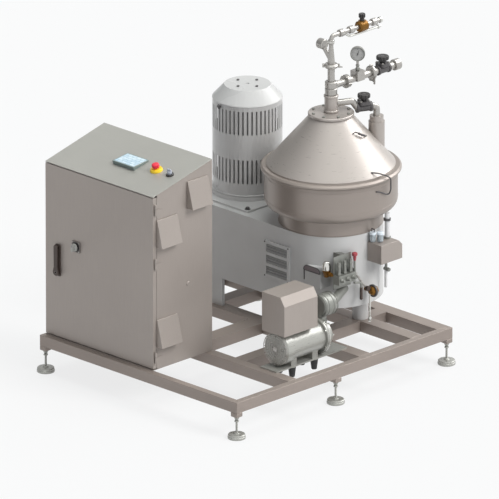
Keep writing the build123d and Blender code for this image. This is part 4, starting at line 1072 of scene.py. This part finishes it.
class CENTRIFUGE_OT_hand_knobs(bpy.types.Operator):
    """Build the fluted hand knobs of the three valves"""

    bl_idname = "centrifuge.hand_knobs"
    bl_label = "Hand knobs"

    def execute(self, context):
        sizes = context.scene.centrifuge_pipes
        knobs = (("outlet_valve_knob", "outlet_knob"), ("return_valve_knob", "return_knob"),
                 ("water_valve_knob", "water_knob"))
        for node, body in knobs:
            box = Box(node)
            radius = box.size.x / 2
            high = box.size.z
            neck = high * 0.45

            def flutes(angle, reach):
                """Round hollows in the knob's rim."""
                if reach < radius * 0.93:
                    return 0
                return -sizes.flute_depth * max(0.0, cos(sizes.knob_flutes * angle)) ** 2

            shape = Shape()
            bore = 0.0093
            inner = max(bore + 0.003, radius * 0.5)
            profile = [(bore, 0.012), (bore, 0), (bore + 0.003, 0), (inner, 0.005), (inner, neck - 0.004),
                       (radius * 0.94, neck), (radius, neck + 0.003), (radius, high - 0.005),
                       (radius * 0.95, high - 0.0015), (radius * 0.84, high - 0.0002),
                       (radius * 0.45, high - 0.002), (radius * 0.35, high - 0.0025), (0, high - 0.0025)]
            shape.lathe(profile, at(box.mid.x, box.mid.y, box.lo.z), 120, flutes)
            shape.finish = 1
            button = [(0, 0), (radius * 0.30, 0), (radius * 0.28, 0.0012), (0, 0.0016)]
            shape.lathe(button, at(box.mid.x, box.mid.y, box.hi.z - 0.0026), 32)
            shape.piece(body + "_grip", ["black_plastic", "valve_enamel"], body, [node])
        return {"FINISHED"}


def wing_clamp(shape, place, radius, wing):
    """The hinge, bolt and wing nut of a pipe clamp whose axis is the place's Z."""
    ear = radius + 0.004
    for side in (-1, 1):
        shape.block((0.010, 0.014, 0.018), place @ at(side * ear, 0, 0), 0.002)
    bolt = place @ at(ear + 0.003, 0, 0) @ turn(90, "X")
    shape.tube([(0, 0, -0.014), (0, 0, 0.030)], 0.003, bolt, 12)
    shape.hexagon(0.0065, 0.006, bolt @ at(0, 0, 0.014))
    shape.prism(rounded(wing, 0.005, 0.002), 0.019, 0.029, bolt, 0.001)
    hinge = place @ at(-ear - 0.002, 0, 0)
    shape.tube([(0, 0, -0.010), (0, 0, 0.010)], 0.0045, hinge, 12)


class CENTRIFUGE_OT_pipe_fittings(bpy.types.Operator):
    """Build the wing clamps, bonnet bolts, ferrules and union hexagons along the pipes"""

    bl_idname = "centrifuge.pipe_fittings"
    bl_label = "Pipe fittings"

    def execute(self, context):
        sizes = context.scene.centrifuge_pipes
        bowl = Box("bowl_drum").mid
        clamps = Shape()
        feed_clamp = at(bowl.x, bowl.y, Box("hood_flange").hi.z + 0.161) @ turn(45, "Z")
        outlet_clamp = at(bowl.x, bowl.y + 0.300, Box("outlet_line").mid.z) @ turn(-90, "X") @ turn(90, "Z")
        for place in (feed_clamp, outlet_clamp):
            wing_clamp(clamps, place, 0.036, sizes.wing_span)
        clamps.piece("pipe_clamps", ["pipe_steel"])

        bolts = Shape()
        washer = 0.0015
        for node, heading in (("outlet_valve", 0), ("return_valve", -25.66)):
            knob = Box(node + "_knob")
            top = Box(node).hi.z - 0.022
            for dx, dy in four_corners(0.022, 0.022):
                seat = at(knob.mid.x, knob.mid.y, top) @ turn(heading, "Z") @ at(dx, dy, 0)
                bolts.lathe([(0, 0), (0.0075, 0), (0.0075, washer), (0, washer)], seat, 20)
                bolts.hexagon(sizes.small_bolt, 0.005, seat @ at(0, 0, washer))
        bolts.piece("bonnet_bolts", ["pipe_steel"])

        unions = Shape()
        line_z = Box("water_line").hi.z - 0.020
        for along in (0.069, 0.141, 0.311):
            unions.hexagon(0.0215, 0.012, at(bowl.x, bowl.y + along, line_z) @ turn(-90, "X"))
        unions.hexagon(0.0195, 0.011, at(bowl.x, bowl.y, line_z - 0.0365))
        end = at(bowl.x, bowl.y + 0.372, line_z) @ turn(-90, "X")
        spout = [(0.0125, -0.016), (0.0165, -0.014), (0.0165, -0.002), (0.0150, 0), (0.0085, 0),
                 (0.0085, -0.010), (0, -0.010)]
        unions.lathe(spout, end, 32)
        low_z = line_z - 0.035
        bypass = [(bowl.x, bowl.y + 0.105, line_z - 0.012), (bowl.x, bowl.y + 0.135, low_z),
                  (bowl.x, bowl.y + 0.368, low_z)]
        unions.tube(curved(bypass, 0.02), 0.0065, None, 16)
        unions.hexagon(0.0120, 0.010, at(bowl.x, bowl.y + 0.345, low_z) @ turn(-90, "X"))
        unions.piece("water_unions", ["bright_steel"])
        return {"FINISHED"}


class CENTRIFUGE_OT_gauge(bpy.types.Operator):
    """Build the gauge's dial face, its marks, needle and glass rim"""

    bl_idname = "centrifuge.gauge"
    bl_label = "Gauge"

    def execute(self, context):
        sizes = context.scene.centrifuge_pipes
        box = Box("pressure_gauge")
        radius = 0.039
        centre = at(box.mid.x, box.mid.y, box.hi.z - radius)
        face = centre @ turn(45, "Z") @ turn(90, "X")
        shape = Shape()
        shape.lathe([(0, 0.0080), (0.0345, 0.0080), (0.0345, 0.0084), (0, 0.0084)], face, 64)
        shape.finish = 1
        for index in range(sizes.gauge_ticks):
            angle = 225 - 270 * index / (sizes.gauge_ticks - 1)
            major = index % 5 == 0
            reach = 0.007 if major else 0.004
            mark = face @ turn(angle, "Z") @ at(0.031 - reach / 2, 0, 0.0086)
            shape.block((reach, 0.0014 if major else 0.0008, 0.0004), mark, 0.0001)
        needle = face @ turn(70, "Z")
        hand = [(-0.008, -0.0018), (0.024, -0.0005), (0.024, 0.0005), (-0.008, 0.0018)]
        shape.prism(hand, 0.0095, 0.0101, needle)
        shape.lathe([(0, 0.0086), (0.0035, 0.0086), (0.0035, 0.0108), (0, 0.0112)], face, 24)
        shape.finish = 2
        rim = [(0.0345, 0.0085), (0.0352, 0.0118), (0.0375, 0.0128), (0.0392, 0.0112), (0.0392, 0.0060)]
        shape.lathe(rim, face, 64)
        stem = at(box.mid.x, box.mid.y, box.lo.z)
        shape.hexagon(0.0125, 0.012, stem @ at(0, 0, 0.002))
        shape.lathe([(0.0075, 0.020), (0.0100, 0.022), (0.0100, 0.030), (0.0075, 0.032)], stem, 32)
        finishes = ["dial_grey", "black_plastic", "dull_steel"]
        shape.piece("gauge_face", finishes)
        return {"FINISHED"}


class CENTRIFUGE_OT_filters(bpy.types.Operator):
    """Build the two air filters with clear bowls on the side box"""

    bl_idname = "centrifuge.filters"
    bl_label = "Air filters"

    def execute(self, context):
        box = Box("filter_bowls")
        radius = 0.018
        nudge = 0.0035
        places = ((box.lo.x + radius - nudge, box.lo.y + radius - nudge),
                  (box.hi.x - radius - nudge, box.hi.y - radius - nudge))
        bowls = Shape()
        heads = Shape()
        inside = [(0.0150, 0.044), (0.0155, 0.012), (0.0140, 0.006), (0.0100, 0.0035), (0, 0.0035)]
        outside = [(0.0165, 0.044), (0.0172, 0.010), (0.0155, 0.004), (0.0120, 0.001), (0, 0.001)]
        lid = [(0, 0.043), (0.0175, 0.043), (0.0180, 0.045), (0.0180, 0.054), (0.0160, 0.0565), (0, 0.057)]
        core = [(0, 0.006), (0.0095, 0.006), (0.0105, 0.010), (0.0105, 0.038), (0.0080, 0.042), (0, 0.042)]
        for x, y in places:
            foot = at(x, y, box.lo.z)
            bowls.lathe(inside, foot, 40)
            bowls.lathe(outside, foot, 40)
            heads.finish = 0
            heads.lathe(lid, foot, 40)
            heads.finish = 1
            heads.lathe(core, foot, 24)
        heads.finish = 2
        loop = [(-0.012, 0, 0.056), (-0.012, 0, 0.072), (0.014, 0, 0.072), (0.014, 0, 0.056)]
        heads.tube(curved(loop, 0.008), 0.003, at(*places[0], box.lo.z), 12)
        bowls.piece("filter_clear_bowls", ["clear_bowl"], replaces=["filter_bowls"])
        finishes = ["filter_core", "dial_white", "valve_enamel"]
        heads.piece("filter_heads", finishes)
        return {"FINISHED"}


def build_regulator():
    """The brass regulator with its bright cap."""
    box = Box("water_regulator")
    foot = at(box.lo.x + 0.024, box.mid.y, box.lo.z)
    body = Shape()
    cup = [(0, 0), (0.012, 0), (0.014, 0.002), (0.020, 0.028), (0.022, 0.031), (0.022, 0.040), (0, 0.040)]
    body.lathe(cup, foot, 40)
    body.hexagon(0.0135, 0.014, foot @ at(0.020, 0, 0.020) @ turn(90, "Y"))
    body.tube([(0.030, 0, 0.020), (box.size.x - 0.024, 0, 0.020)], 0.009, foot, 20)
    body.finish = 1
    cap = [(0, 0.040), (0.0235, 0.040), (0.0240, 0.043), (0.0235, 0.062), (0.0215, 0.072), (0.0170, 0.081),
           (0.0100, 0.0875), (0, 0.090)]
    body.lathe(cap, foot, 40)
    body.piece("regulator_body", ["brass", "bright_steel"], replaces=["water_regulator"])


def build_strainer():
    """The round strainer with its black ring and its side pipe."""
    box = Box("strainer")
    front = at(box.hi.x - 0.0275, box.lo.y, box.mid.z) @ turn(-90, "X")
    cap = Shape()
    cap.lathe([(0, 0.0005), (0.010, 0), (0.018, 0.0035), (0.0225, 0.009), (0.0240, 0.013)], front, 48)
    cap.lathe([(0.0240, 0.013), (0.0275, 0.015), (0.0275, 0.036), (0.0255, 0.040), (0, 0.040)], front, 6)
    cap.finish = 1
    ring = [(0.0265, 0.014), (0.0330, 0.014), (0.0345, 0.016), (0.0345, 0.024), (0.0330, 0.026),
            (0.0265, 0.026), (0.0265, 0.014)]
    cap.lathe(ring, front, 48)
    cap.finish = 0
    cap.tube([(box.lo.x, box.mid.y, box.mid.z), (box.hi.x - 0.030, box.mid.y, box.mid.z)], 0.0125, None, 24)
    cap.piece("strainer_cap", ["brass", "valve_enamel"], replaces=["strainer"])


def build_small_valves(lever):
    """The manifold's nuts and caps, its red knob and the dark lever below it."""
    manifold = Box("water_manifold")
    small = Shape()
    bank_x = manifold.hi.x - 0.019
    top = manifold.lo.z + 0.0818
    valves = 3
    cap = [(0.0120, 0), (0.0120, 0.006), (0.0095, 0.009), (0.0085, 0.020), (0.0070, 0.024), (0, 0.024)]
    for index in range(valves):
        y = manifold.lo.y + manifold.size.y * (index + 0.5) / valves
        small.hexagon(0.0125, 0.012, at(bank_x, y, top))
        small.hexagon(0.0115, 0.010, at(bank_x, y, top + 0.045))
        small.lathe(cap, at(manifold.hi.x, y, top - 0.025) @ turn(90, "Y"), 24)
    stem = at(bank_x, manifold.hi.y + 0.010, 0)
    small.tube([(0, 0, top - 0.030), (0, 0, manifold.hi.z - 0.020)], 0.006, stem, 16)
    small.tube([(0, -0.020, top - 0.028), (0, 0.006, top - 0.028)], 0.008, stem, 16)
    small.finish = 1
    knob = [(0, -0.026), (0.007, -0.024), (0.0085, -0.010), (0.0095, 0), (0.0145, 0.004), (0.0155, 0.012),
            (0.0140, 0.018), (0.008, 0.021), (0, 0.0215)]
    small.lathe(knob, stem @ at(0, 0, manifold.hi.z - 0.021), 32)
    small.finish = 2
    small.tube([(0, 0, -0.018), (0, 0, 0.030)], 0.0075, lever, 16)
    small.block((0.013, 0.013, 0.066), lever @ at(0, 0, -0.006), 0.003)
    thumb = [(0, -0.014), (0.011, -0.012), (0.0135, -0.004), (0.0135, 0.008), (0, 0.010)]
    small.lathe(thumb, lever @ at(0.0175, 0.0320, 0.020) @ turn(90, "Y"), 24)
    small.piece("water_small_valves", ["dull_steel", "dark_red", "handle_plastic"])


def build_thin_pipes(lever, radius):
    """The slanting pipe, the drop pipe with its foot, and the level pipe of the water unit."""
    strainer = Box("strainer")
    pipes = Shape()
    drop_x, drop_y = strainer.hi.x - 0.0385, strainer.mid.y - 0.011
    drop_foot = 0.276
    pipes.tube([(drop_x, drop_y, strainer.lo.z + 0.010), (drop_x, drop_y, 0.300)], radius * 0.85, None, 16)
    foot = [(0, 0), (0.008, 0), (0.0095, 0.003), (0.0095, 0.020), (0.007, 0.026), (0, 0.026)]
    pipes.lathe(foot, at(drop_x, drop_y, drop_foot), 24)
    pipes.finish = 1
    level = [(0, 0, 0.030), (0, 0, 0.057), (-0.011, -0.0425, 0.064)]
    pipes.tube(curved(level, 0.015), radius, lever, 16)
    pipes.finish = 2
    slanting = [
        (-0.041, -0.0445, 0.152), (-0.026, -0.0185, 0.112), (-0.007, 0.0115, 0.052), (0.009, 0.0455, 0.007),
    ]
    pipes.tube(curved(slanting, 0.02), radius, lever, 16)
    pipes.piece("water_thin_pipes", ["bright_steel", "dull_steel", "pipe_steel"])


class CENTRIFUGE_OT_water_unit(bpy.types.Operator):
    """Build the regulator, the strainer's cap and the manifold's small valves"""

    bl_idname = "centrifuge.water_unit"
    bl_label = "Water unit"

    def execute(self, context):
        strainer = Box("strainer")
        lever = at(strainer.lo.x + 0.033, strainer.mid.y - 0.065, strainer.mid.z)
        build_regulator()
        build_strainer()
        build_small_valves(lever)
        build_thin_pipes(lever, context.scene.centrifuge_pipes.drain_radius)
        return {"FINISHED"}


class CENTRIFUGE_OT_drain(bpy.types.Operator):
    """Build the drain pipe between the casing and the side box, and the fitting under the box"""

    bl_idname = "centrifuge.drain"
    bl_label = "Drain pipe"

    def execute(self, context):
        box = Box("side_box")
        top = Box("bowl_drum").lo.z + 0.091
        centre = at(box.lo.x + 0.079, box.hi.y - 0.045, 0)
        outer, inner = 0.019, 0.0135
        shape = Shape()
        shape.ring(outer, inner, box.hi.z, box.hi.z + 0.010, centre, 32)
        tee_z, hose_end = 0.532, 0.430
        hose_x = -0.008
        shape.tube([(-0.020, 0, tee_z), (0.018, 0, tee_z)], 0.009, centre, 20)
        shape.hexagon(0.012, 0.010, centre @ at(0.004, 0, tee_z) @ turn(90, "Y"))
        shape.tube([(hose_x, 0, tee_z), (hose_x, 0, box.lo.z + 0.002)], 0.0075, centre, 20)
        shape.finish = 1
        shape.tube([(0, 0, box.hi.z - 0.002), (0, 0, top)], inner, centre, 24)
        shape.tube([(hose_x, 0, tee_z - 0.004), (hose_x, 0, hose_end)], 0.0085, centre, 20)
        shape.finish = 2
        shape.ring(outer, inner, top - 0.041, top - 0.029, centre, 32)
        shape.piece("drain_pipe", ["dull_steel", "hose", "valve_enamel"])
        return {"FINISHED"}


def build_fan_grille(sizes, front):
    """The wire grille over the pump motor's fan."""
    grille = Shape()
    reach = 0.085
    rise = at(0, 0, 0.0010)
    for index in range(sizes.grille_rings):
        grille.torus(reach * (index + 1) / sizes.grille_rings, sizes.wire_radius, front @ rise, 64, 8)
    for index in range(sizes.grille_spokes):
        spoke = front @ turn(360 * index / sizes.grille_spokes, "Z") @ rise
        grille.tube([(0.013, 0, 0), (reach + 0.002, 0, 0)], sizes.wire_radius * 0.7, spoke, 8)
    grille.lathe([(0, 0), (0.014, 0), (0.013, 0.003), (0, 0.004)], front, 32)
    grille.piece("fan_grille", ["pipe_steel"])


def build_pump_bolts(sizes, motor, head):
    """The bolts of the two flanges, the suction ring and the bright beads."""
    x, z = head.mid.x, head.mid.z
    bolts = Shape()
    flange = at(x, motor.hi.y - 0.018, z) @ turn(90, "X")
    back = at(x, head.hi.y, z) @ turn(-90, "X")
    step = 360 / sizes.flange_bolts
    for index in range(sizes.flange_bolts):
        bolts.hexagon(0.0055, 0.005, flange @ turn(step * (index + 0.5), "Z") @ at(0.0895, 0, 0))
        bolts.hexagon(0.007, 0.007, back @ turn(step * index, "Z") @ at(0.060, 0, 0))
    suction = [(0, 0), (0.046, 0), (0.046, 0.010), (0.042, 0.014), (0.030, 0.014), (0.030, 0.004), (0, 0.004)]
    bolts.lathe(suction, back, 48)
    bolts.torus(0.0965, 0.003, at(x, motor.hi.y - 0.003, z) @ turn(90, "X"), 96)
    bolts.torus(head.size.x / 2 + 0.001, 0.0035, at(x, head.lo.y + 0.014, z) @ turn(90, "X"), 96)
    bolts.piece("pump_bright_trim", ["bright_steel"])


def build_pump_dark_parts(motor, x):
    """The cable glands, the terminal block and the rubber buffers."""
    control = Box("pump_control_box")
    plate = Box("pump_plate")
    glands = Shape()
    nose = [(0.0105, 0.007), (0.0105, 0.012), (0.0080, 0.017), (0, 0.017)]
    for share in (0.35, 0.55, 0.75):
        y = control.lo.y + control.size.y * share
        place = at(control.hi.x - 0.036, y, control.lo.z) @ turn(180, "X")
        glands.hexagon(0.0125, 0.007, place)
        glands.lathe(nose, place, 24)
    neck = (0.070, 0.110, control.lo.z - motor.lo.z - 0.170)
    glands.block(neck, at(x, control.mid.y, control.lo.z - 0.010), 0.003)
    glands.finish = 1
    buffer = [(0, 0), (0.0135, 0), (0.0150, 0.004), (0.0205, 0.050), (0.0205, 0.055)]
    for y in (motor.lo.y + 0.079, motor.lo.y + 0.243):
        for side in (-0.045, 0.045):
            glands.lathe(buffer, at(x + side, y, plate.lo.z), 32)
    glands.piece("pump_black_trim", ["grey_plastic", "rubber"])


def build_pump_unions(sizes, head):
    """The beads on the delivery pipe's sleeve and the ring on the pump head's neck."""
    pipe = Box("pump_pipe")
    x, y, z = head.mid
    unions = Shape()
    for lead in (0.006, 0.030, 0.066, 0.090):
        centre = at(x, pipe.lo.y + lead, pipe.hi.z - sizes.sleeve_radius)
        unions.torus(sizes.sleeve_radius, 0.0028, centre @ turn(90, "X"), 64)
    unions.torus(0.0262, 0.003, at(x, y, z + 0.082), 48)
    unions.ring(0.033, 0.0250, 0.070, 0.080, at(x, y, z), 48)
    unions.piece("pump_unions", ["dull_steel"])


class CENTRIFUGE_OT_pump_trim(bpy.types.Operator):
    """Build the fan grille, flange bolts, cable glands, buffers and pipe unions of the pump set"""

    bl_idname = "centrifuge.pump_trim"
    bl_label = "Pump trim"

    def execute(self, context):
        sizes = context.scene.centrifuge_pump
        motor = Box("pump_motor")
        head = Box("pump_head")
        build_fan_grille(sizes, at(head.mid.x, motor.lo.y, head.mid.z) @ turn(90, "X"))
        build_pump_bolts(sizes, motor, head)
        build_pump_dark_parts(motor, head.mid.x)
        build_pump_unions(sizes, head)
        return {"FINISHED"}


def look_down(azimuth, elevation):
    """The view's right, up and back directions for an azimuth and an elevation in degrees."""
    a, e = radians(azimuth), radians(elevation)
    right = Vector((cos(a), sin(a), 0))
    back = Vector((sin(a) * cos(e), -cos(a) * cos(e), sin(e)))
    return right, back.cross(right), back


def sun(name, energy, colour_value, spread, toward):
    """A soft, far lamp that shines from a direction."""
    data = bpy.data.lights.new(name, "SUN")
    data.energy = energy
    data.color = colour_value
    data.angle = radians(spread)
    lamp = bpy.data.objects.new(name, data)
    lamp.rotation_mode = "QUATERNION"
    lamp.rotation_quaternion = Vector(toward).to_track_quat("Z", "Y")
    bpy.context.scene.collection.objects.link(lamp)
    return lamp


def seen_as_white(nodes, links, path):
    """1 for a ray from the camera, from a glossy piece or through a clear one."""
    seen = joined(nodes, links, "MAXIMUM", path.outputs["Is Camera Ray"], path.outputs["Is Glossy Ray"])
    return joined(nodes, links, "MAXIMUM", seen, path.outputs["Is Transmission Ray"])


def lay_floor(sizes):
    """The plain pale floor, which shows nearly white and keeps the shadow."""
    mesh = bpy.data.meshes.new("floor")
    net = bmesh.new()
    bmesh.ops.create_circle(net, cap_ends=True, radius=sizes.floor_radius, segments=96)
    net.to_mesh(mesh)
    net.free()
    floor = bpy.data.objects.new("floor", mesh)
    floor.location.z = -0.0005
    bpy.context.scene.collection.objects.link(floor)
    recipe = Recipe("studio_floor", (0.60, 0.605, 0.615), 0.75)
    nodes, links = recipe.nodes, recipe.links
    glow = recipe.node("ShaderNodeEmission", Strength=1.0)
    glow.inputs["Color"].default_value = (0.985, 0.987, 0.99, 1)
    seen = seen_as_white(nodes, links, recipe.node("ShaderNodeLightPath"))
    white_share = 0.80
    mix = recipe.node("ShaderNodeMixShader")
    links.new(joined(nodes, links, "MULTIPLY", seen, white_share), mix.inputs["Fac"])
    links.new(recipe.shader.outputs[0], mix.inputs[1])
    links.new(glow.outputs[0], mix.inputs[2])
    links.new(mix.outputs[0], nodes["Material Output"].inputs["Surface"])
    mesh.materials.append(recipe.material)


def light_world(sizes):
    """Even light from all round, a white background, and a gloss that fades to one side."""
    world = bpy.data.worlds.new("studio")
    world.use_nodes = True
    bpy.context.scene.world = world
    nodes, links = world.node_tree.nodes, world.node_tree.links
    ground = nodes["Background"]
    ground.inputs["Color"].default_value = (0.96, 0.98, 1.0, 1)
    ground.inputs["Strength"].default_value = sizes.ambient
    white = nodes.new("ShaderNodeBackground")
    white.inputs["Color"].default_value = (1, 1, 1, 1)
    path = nodes.new("ShaderNodeLightPath")
    side = nodes.new("ShaderNodeVectorMath")
    side.operation = "DOT_PRODUCT"
    side.inputs[1].default_value = (-0.95, -0.30, 0)
    links.new(nodes.new("ShaderNodeTexCoord").outputs["Generated"], side.inputs[0])
    fade = nodes.new("ShaderNodeMapRange")
    for name, value in (("From Min", 0.1), ("From Max", 0.9), ("To Min", 1.0), ("To Max", 0.25)):
        fade.inputs[name].default_value = value
    links.new(side.outputs["Value"], fade.inputs["Value"])
    strength = joined(nodes, links, "MAXIMUM", path.outputs["Is Camera Ray"], fade.outputs["Result"])
    links.new(strength, white.inputs["Strength"])
    mix = nodes.new("ShaderNodeMixShader")
    links.new(seen_as_white(nodes, links, path), mix.inputs["Fac"])
    links.new(ground.outputs[0], mix.inputs[1])
    links.new(white.outputs[0], mix.inputs[2])
    links.new(mix.outputs[0], nodes["World Output"].inputs["Surface"])


def set_camera(sizes):
    """A long lens, aimed at the middle of the picture."""
    right, up, back = look_down(sizes.azimuth, sizes.elevation)
    lens = bpy.data.cameras.new("camera")
    lens.sensor_width = 36
    lens.lens = lens.sensor_width * sizes.camera_distance / sizes.view_width
    lens.clip_start, lens.clip_end = 1.0, 500.0
    camera = bpy.data.objects.new("camera", lens)
    camera.location = right * sizes.aim_right + up * sizes.aim_up + back * sizes.camera_distance
    camera.rotation_mode = "QUATERNION"
    camera.rotation_quaternion = Matrix((right, up, back)).transposed().to_quaternion()
    bpy.context.scene.collection.objects.link(camera)
    bpy.context.scene.camera = camera


class CENTRIFUGE_OT_stage(bpy.types.Operator):
    """Set the pale floor, the soft lamps and the camera"""

    bl_idname = "centrifuge.stage"
    bl_label = "Stage"

    def execute(self, context):
        sizes = context.scene.centrifuge_stage
        context.scene.view_settings.view_transform = "Standard"
        lay_floor(sizes)
        light_world(sizes)
        key = sun("key_lamp", sizes.key_energy, (1.0, 0.99, 0.97), 30, (0.72, 0.19, 0.67))
        key.visible_glossy = False
        shine = sun("shine_lamp", sizes.shine_energy, (1.0, 1.0, 1.0), 50, (0.13, 0.73, 0.67))
        shine.visible_diffuse = False
        sun("fill_lamp", sizes.fill_energy, (0.95, 0.97, 1.0), 40, (-0.2, -1.0, 0.35))
        sun("top_lamp", sizes.top_energy, (0.96, 1.0, 0.95), 40, (0.0, 0.1, 1.0))
        set_camera(sizes)
        return {"FINISHED"}


class CENTRIFUGE_PT_panel(bpy.types.Panel):
    """Lists the pieces in the 3D view's sidebar"""

    bl_label = "Centrifuge"
    bl_idname = "CENTRIFUGE_PT_panel"
    bl_space_type = "VIEW_3D"
    bl_region_type = "UI"
    bl_category = "Centrifuge"

    def draw(self, context):
        for step in STEPS:
            self.layout.operator(step.bl_idname)
        for name in SETTINGS:
            group = getattr(context.scene, name)
            column = self.layout.column(heading=name.replace("centrifuge_", "").capitalize())
            for prop in group.bl_rna.properties:
                if prop.identifier not in ("rna_type", "name"):
                    column.prop(group, prop.identifier)


SETTINGS = {
    "centrifuge_finishes": FinishSettings,
    "centrifuge_desk": DeskSettings,
    "centrifuge_drive": DriveSettings,
    "centrifuge_bowl": BowlSettings,
    "centrifuge_pipes": PipeSettings,
    "centrifuge_pump": PumpSettings,
    "centrifuge_stage": StageSettings,
}
STEPS = (
    CENTRIFUGE_OT_stage,
    CENTRIFUGE_OT_solids,
    CENTRIFUGE_OT_display,
    CENTRIFUGE_OT_desk_controls,
    CENTRIFUGE_OT_door_fittings,
    CENTRIFUGE_OT_cabinet_trim,
    CENTRIFUGE_OT_feet,
    CENTRIFUGE_OT_motor_trim,
    CENTRIFUGE_OT_housing_trim,
    CENTRIFUGE_OT_hood_trim,
    CENTRIFUGE_OT_hand_knobs,
    CENTRIFUGE_OT_pipe_fittings,
    CENTRIFUGE_OT_gauge,
    CENTRIFUGE_OT_filters,
    CENTRIFUGE_OT_water_unit,
    CENTRIFUGE_OT_drain,
    CENTRIFUGE_OT_pump_trim,
)


def register():
    """Register the settings, the operators and the panel."""
    for name, group in SETTINGS.items():
        bpy.utils.register_class(group)
        setattr(bpy.types.Scene, name, PointerProperty(type=group))
    for step in STEPS:
        bpy.utils.register_class(step)
    bpy.utils.register_class(CENTRIFUGE_PT_panel)


def unregister():
    """Take everything back out, in the reverse order."""
    bpy.utils.unregister_class(CENTRIFUGE_PT_panel)
    for step in reversed(STEPS):
        bpy.utils.unregister_class(step)
    for name, group in reversed(SETTINGS.items()):
        delattr(bpy.types.Scene, name)
        bpy.utils.unregister_class(group)


def main():
    """Run every step."""
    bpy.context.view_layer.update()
    register()
    for step in STEPS:
        group, name = step.bl_idname.split(".")
        getattr(getattr(bpy.ops, group), name)()


if __name__ == "__main__":
    main()
